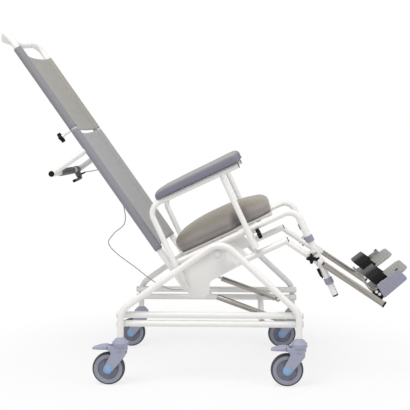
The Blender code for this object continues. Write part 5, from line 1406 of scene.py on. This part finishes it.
class CHAIR_OT_knobs(bpy.types.Operator):
    """The star knobs of the armrests, back and leg rests, and the leg latches"""
    bl_idname = "chair.knobs"
    bl_label = "Knobs and latches"

    LATCH_R = 0.0057
    LATCH_EDGE = [(-LATCH_R, 0), (-0.005, -0.0228), (0.001, -0.038), (0.0045, -0.0342), (LATCH_R, 0)]
    LATCH_RADII = [0, 0.006, 0.0015, 0.003, 0]
    LATCH_HALF, LATCH_BELOW = 0.006, 0.030

    def execute(self, context):
        lean = TILT + BACK_LEAN
        outline = np.concatenate([arc((0, 0), self.LATCH_R, 0, 180, 12),
                                  rounded(self.LATCH_EDGE, self.LATCH_RADII, 5)[1:-1]])
        latch = slab(outline, -self.LATCH_HALF, self.LATCH_HALF, 0.0014)
        for side, sign in SIDES.items():
            for name, axis, stud in (("armrest_knob", (math.cos(TILT), 0, math.sin(TILT)), 0.012),
                                     ("back_knob", (-math.cos(lean), 0, -math.sin(lean)), 0.040),
                                     ("leg_knob", (0, sign, 0), 0.0097)):
                knob = f"{name}_{side}"
                at = JOINTS[f"{name}_turn_{side}"]["pos_m"]
                make_piece(f"star_{knob}", knob_shape(axis, at), "black", knob, knob, smooth=45)
                make_piece(f"stud_{knob}", stud_shape(axis, at, stud), "rod", knob)
            at = (HANGER_X - TUBE_R - self.LATCH_HALF, sign * SEAT_Y, LEG_PIVOT[1] - self.LATCH_BELOW)
            seat_piece(f"latch_{side}", moved(latch, at), "black", f"leg_latch_{side}", f"leg_latch_{side}")
        return {"FINISHED"}


# Directions in the level seat frame: along a foot tray and square to it, then along a lowered foot arm
# and square to that
TOE = np.array((math.cos(TOE_RISE), 0, math.sin(TOE_RISE)))
TOE_UP = np.array((-math.sin(TOE_RISE), 0, math.cos(TOE_RISE)))
LEG_ALONG = np.array((math.cos(LEG_DROP), 0, -math.sin(LEG_DROP)))
LEG_ACROSS = np.array((math.sin(LEG_DROP), 0, math.cos(LEG_DROP)))
LEG_PIN_AT = np.array((LEG_PIVOT[0], 0, LEG_PIVOT[1]))
# the bracket's upper rear corner, from which its outlines are measured
BRACKET_AT = LEG_PIN_AT + LEG_ALONG * (FOOT_ARM_END - 0.081) + TOE * 0.0495


class CHAIR_OT_leg_rests(bpy.types.Operator):
    """The leg rests: stainless arms with slotted sectors, brackets, foot trays and webbing straps"""
    bl_idname = "chair.leg_rests"
    bl_label = "Leg rests"

    # outlines of the bracket's plates, ahead of its corner and above it
    PANEL = [(-0.001, 0.0), (0.099, 0.0), (0.105, -0.038), (0.104, -0.050), (0.094, -0.052), (-0.008, -0.057)]
    LEDGE = [(-0.004, -0.032), (0.090, -0.040), (0.092, -0.050), (-0.007, -0.055)]
    WEDGE = [(-0.032, -0.012), (0.002, -0.016), (-0.003, -0.052), (-0.020, -0.058)]
    CLIP = [(0.086, -0.004), (0.099, -0.004), (0.099, 0.004), (0.086, 0.004)]
    BOLT = [(0.0058, 0.0070), (0.0062, 0.0098), (0.0056, 0.0112), (0.0030, 0.0116), (0.0026, 0.0106),
            (0.0004, 0.0106)]
    BOLTS_AT = ((-0.017, -0.020), (-0.013, -0.034))
    # the lock sector: its pin hole, the half width of its slot, its reach, and the degrees that it covers
    PIN_HOLE, SLOT_HALF, SECTOR_R, SLOT_SWEEP, SLOT_END, SECTOR_END = 0.0063, 0.0044, 0.052, 50.0, 5, 14
    # the tray's edges on the hinge's axes
    TRAY_INNER, TRAY_OUTER, TRAY_HEEL, TRAY_TOE = -0.185, -0.0036, -0.031, 0.132
    # the strap: its middle across the tray and along it, half span, foot, rise, half width and half thickness
    STRAP_Y, STRAP_X, STRAP_HALF, STRAP_FOOT, STRAP_RISE = -0.0925, 0.028, 0.0755, 0.0093, 0.060
    STRAP_WIDTH, STRAP_THICKNESS, STRAP_LEAN = 0.0270, 0.0019, 0.3

    def execute(self, context):
        arm_y = FOOT_ARM_Y - FOOT_ARM_HALF, FOOT_ARM_Y + FOOT_ARM_HALF
        plug_y = arm_y[0] - 0.0006, arm_y[1] + 0.0006
        for side, sign in SIDES.items():
            body, tray = f"leg_rest_{side}", f"foot_tray_{side}"
            arm = side_slab(self.bar(0.018, 0.287, 0.0113), sign, arm_y, 0.0026, 4)
            seat_piece(f"leg_arm_{side}", moved(arm, LEG_PIN_AT), "steel", body, f"foot_arm_{side}")
            seat_piece(f"lock_sector_{side}", moved(self.sector(sign), LEG_PIN_AT), "paint", body)
            plug = side_slab(self.bar(0.2872, 0.2925, 0.0120), sign, plug_y, 0.0016, 4)
            seat_piece(f"leg_arm_plug_{side}", moved(plug, LEG_PIN_AT), "black", body)
            bracket = joined(self.plate(self.PANEL, sign, (0.2605, 0.2685), 0.004, 0.0022, 4),
                             self.plate(self.LEDGE, sign, (0.2420, 0.2615), 0.004, 0.0022, 4))
            seat_piece(f"tray_bracket_{side}", bracket, "bracket", body, f"foot_bracket_{side}")
            dark = joined(self.plate(self.WEDGE, sign, (0.2480, 0.2625), 0.003, 0.0015),
                          self.plate(self.CLIP, sign, (0.2622, 0.2668), 0.0015, 0.001))
            seat_piece(f"bracket_wedge_{side}", dark, "black", body)
            bolts = [lathe(self.BOLT, self.bracket_point(*at) + (0, sign * FOOT_ARM_Y, 0), (0, sign, 0), 24)
                     for at in self.BOLTS_AT]
            seat_piece(f"bracket_bolts_{side}", joined(*bolts), "rod", body)
            seat_piece(tray, self.hung(self.tray(), sign), "tray", tray, f"footplate_{side}")
            seat_piece(f"foot_webbing_{side}", self.hung(self.strap(), sign), "webbing", tray,
                       f"foot_strap_{side}", smooth=50)
        return {"FINISHED"}

    def bracket_point(self, ahead, above):
        """A point of the bracket: from its corner, along a tray's toe direction and square to it."""
        return BRACKET_AT + TOE * ahead + TOE_UP * above

    def plate(self, corners, sign, depths, radius, bevel, steps=3):
        """A plate of the bracket, with round corners."""
        flat = np.array([self.bracket_point(*corner) for corner in corners])[:, [0, 2]]
        return side_slab(rounded(flat, radius, 6, True), sign, depths, bevel, steps)

    def hung(self, shape, sign):
        """A shape on the axes of a tray's hinge, toe, outward and up, carried to the level seat frame."""
        hinge = BRACKET_AT + TOE_UP * 0.0003 + (0, sign * (FOOT_ARM_Y + 0.009), 0)
        return placed(shape, lambda points: hinge + points @ np.stack([TOE, sign * ACROSS, TOE_UP]))

    def bar(self, start, end, half, radius=0.0015, steps=4):
        """Outline of a flat bar along the foot arm, about the leg pin: between two distances from it, with a
        half height."""
        corners = [LEG_ALONG * along + LEG_ACROSS * across
                   for along, across in ((start, -half), (end, -half), (end, half), (start, half))]
        return rounded(np.array(corners)[:, [0, 2]], radius, steps, True)

    def sector(self, sign):
        """The lock sector, on circles about the leg pin: a fan of cells left open along the slot, closed into
        a plate by a second layer and a wall along every edge that only one cell has."""
        knob_x = LEG_KNOB_X - LEG_PIVOT[0]
        knob_z = LOWER_SEAT_RAIL - (LEG_KNOB_X - STRUT_X) * math.tan(LEG_DROP) - LEG_PIVOT[1]
        stud, slot_r = math.degrees(math.atan2(knob_z, knob_x)), math.hypot(knob_x, knob_z)
        low = stud - self.SLOT_SWEEP
        slot = low - self.SLOT_END, stud + self.SLOT_END
        radii = np.array([self.PIN_HOLE, 0.012, slot_r - self.SLOT_HALF, slot_r + self.SLOT_HALF, 0.050,
                          self.SECTOR_R])
        angles = np.concatenate([np.linspace(low - self.SECTOR_END, slot[0], 5)[:-1],
                                 np.linspace(*slot, 41)[:-1],
                                 np.linspace(slot[1], stud + self.SECTOR_END, 5)])
        a, r = np.meshgrid(np.radians(angles), radii, indexing="ij")
        flat = np.stack([r * np.cos(a), r * np.sin(a)], -1).reshape(-1, 2)
        rows, columns, count = len(angles), len(radii), len(flat)
        i, j = np.divmod(np.arange((rows - 1) * (columns - 1)), columns - 1)
        middle = (angles[i] + angles[i + 1]) / 2
        cells = grid_quads(rows, columns)[~((j == 2) & (middle > slot[0]) & (middle < slot[1]))]
        edges = np.concatenate([cells[:, [k, (k + 1) % 4]] for k in range(4)])
        key = np.sort(edges, 1) @ np.array((count, 1))
        values, uses = np.unique(key, return_counts=True)
        start, end = edges[np.isin(key, values[uses == 1])].T
        walls = np.stack([start, end, end + count, start + count], -1)
        layers = [np.stack([flat[:, 0], np.full(count, sign * depth), flat[:, 1]], -1) for depth in SECTOR_Y]
        fan = np.concatenate(layers), np.concatenate([cells, cells[:, ::-1] + count, walls]), []
        disc = ring_profile(self.PIN_HOLE, 0.0180, *SECTOR_Y, 0.0002, 0.0004)
        lug = self.bar(0.012, 0.062, 0.011, 0.004, 5)
        hub = lathe(disc, ORIGIN, (0, sign, 0), 48, True)
        return joined(fan, hub, side_slab(lug, sign, SECTOR_Y, 0.0008))

    def tray(self):
        """A foot tray seen from above as an outline with round toe corners, carried through its thickness,
        with low ribs on it and a heel rim that rises as a rounded wall. Two straps reach from its outer edge
        up to the hinge, and the whole tray hangs below the hinge by its drop."""
        inner, outer, heel, toe = self.TRAY_INNER, self.TRAY_OUTER, self.TRAY_HEEL, self.TRAY_TOE
        corners = [(heel, inner + 0.004), (heel, outer - 0.004), (toe, outer), (toe, inner)]
        outline = rounded(corners, [0.012, 0.012, 0.026, 0.026], 10, True)
        plate = reordered(slab(outline, 0.0, 0.009, 0.0024, 5), [0, 2, 1])
        wall = [(heel + 0.002, 0.004), (heel + 0.009, 0.004), (heel + 0.0056, 0.029), (heel - 0.0040, 0.029)]
        wall = rounded(wall, [0.001, 0.001, 0.0035, 0.0035], 6, True)
        rim = slab(wall, inner + 0.012, -0.012, 0.004, 6)
        ribs = []
        for x in np.linspace(0.050, 0.110, 6):
            rib = [(x, 0.008), (x + 0.004, 0.008), (x + 0.003, 0.0098), (x + 0.001, 0.0098)]
            ribs.append(slab(rounded(rib, 0.0006, 4, True), inner + 0.030, -0.030))
        hinges = []
        for x in (0.012, 0.062):
            top = TRAY_DROP + 0.0005
            hinge = [(x, 0.001), (x + 0.016, 0.001), (x + 0.016, top), (x, top)]
            hinges.append(slab(hinge, outer - 0.003, outer, 0.0008))
        return moved(joined(plate, rim, *ribs, *hinges), (0, 0, -TRAY_DROP))

    def strap(self):
        """A webbing strap: a flat rounded section carried over an arch whose sides rise steeply and whose top
        is broad; it leans back as it rises."""
        a = np.linspace(0, np.pi, 73)
        line = np.stack([self.STRAP_Y + self.STRAP_HALF * signed_power(np.cos(a), 0.5),
                         self.STRAP_FOOT + self.STRAP_RISE * np.sin(a) ** 0.6], -1)
        run = np.gradient(line, axis=0)
        normal = unit(np.stack([run[:, 1], -run[:, 0]], -1))
        s = full_turn(48)
        wide = self.STRAP_WIDTH * signed_power(np.cos(s), 0.16)
        thick = self.STRAP_THICKNESS * signed_power(np.sin(s), 0.5)
        y = line[:, :1] + normal[:, :1] * thick
        z = np.maximum(line[:, 1:] + normal[:, 1:] * thick, self.STRAP_FOOT)
        x = self.STRAP_X + wide[None] - self.STRAP_LEAN * (z - self.STRAP_FOOT)
        return tube_grid(np.stack([x, y, z - TRAY_DROP], -1))


class CHAIR_PT_panel(bpy.types.Panel):
    """Lists the chair's piece groups in the sidebar"""
    bl_idname = "CHAIR_PT_panel"
    bl_label = "Shower chair"
    bl_space_type = "VIEW_3D"
    bl_region_type = "UI"
    bl_category = "Shower chair"

    def draw(self, context):
        for operator in OPERATORS:
            self.layout.operator(operator.bl_idname)
        for group in GROUPS:
            settings = getattr(context.scene, group)
            box = self.layout.box()
            for key in settings.bl_rna.properties.keys():
                if key not in ("rna_type", "name"):
                    box.prop(settings, key)


OPERATORS = (CHAIR_OT_stage, CHAIR_OT_cable, CHAIR_OT_base, CHAIR_OT_castors, CHAIR_OT_springs,
             CHAIR_OT_seat_frame, CHAIR_OT_cushion, CHAIR_OT_back, CHAIR_OT_slings, CHAIR_OT_armrests,
             CHAIR_OT_knobs, CHAIR_OT_leg_rests)
GROUPS = {"chair_finish": ChairFinish, "chair_sizes": ChairSizes, "chair_stage": ChairStage}


def register():
    """Makes the settings, operators and panel known."""
    for item in (*GROUPS.values(), *OPERATORS, CHAIR_PT_panel):
        bpy.utils.register_class(item)
    for name, group in GROUPS.items():
        setattr(bpy.types.Scene, name, PointerProperty(type=group))


def unregister():
    """Takes them back in the other order."""
    for name in GROUPS:
        delattr(bpy.types.Scene, name)
    for item in (CHAIR_PT_panel, *reversed(OPERATORS), *reversed(GROUPS.values())):
        bpy.utils.unregister_class(item)


def main():
    """Builds the whole chair."""
    register()
    bpy.ops.chair.stage()
    bpy.ops.chair.cable()
    bpy.ops.chair.base()
    bpy.ops.chair.castors()
    bpy.ops.chair.springs()
    bpy.ops.chair.seat_frame()
    bpy.ops.chair.cushion()
    bpy.ops.chair.back()
    bpy.ops.chair.slings()
    bpy.ops.chair.armrests()
    bpy.ops.chair.knobs()
    bpy.ops.chair.leg_rests()


if __name__ == "__main__":
    main()
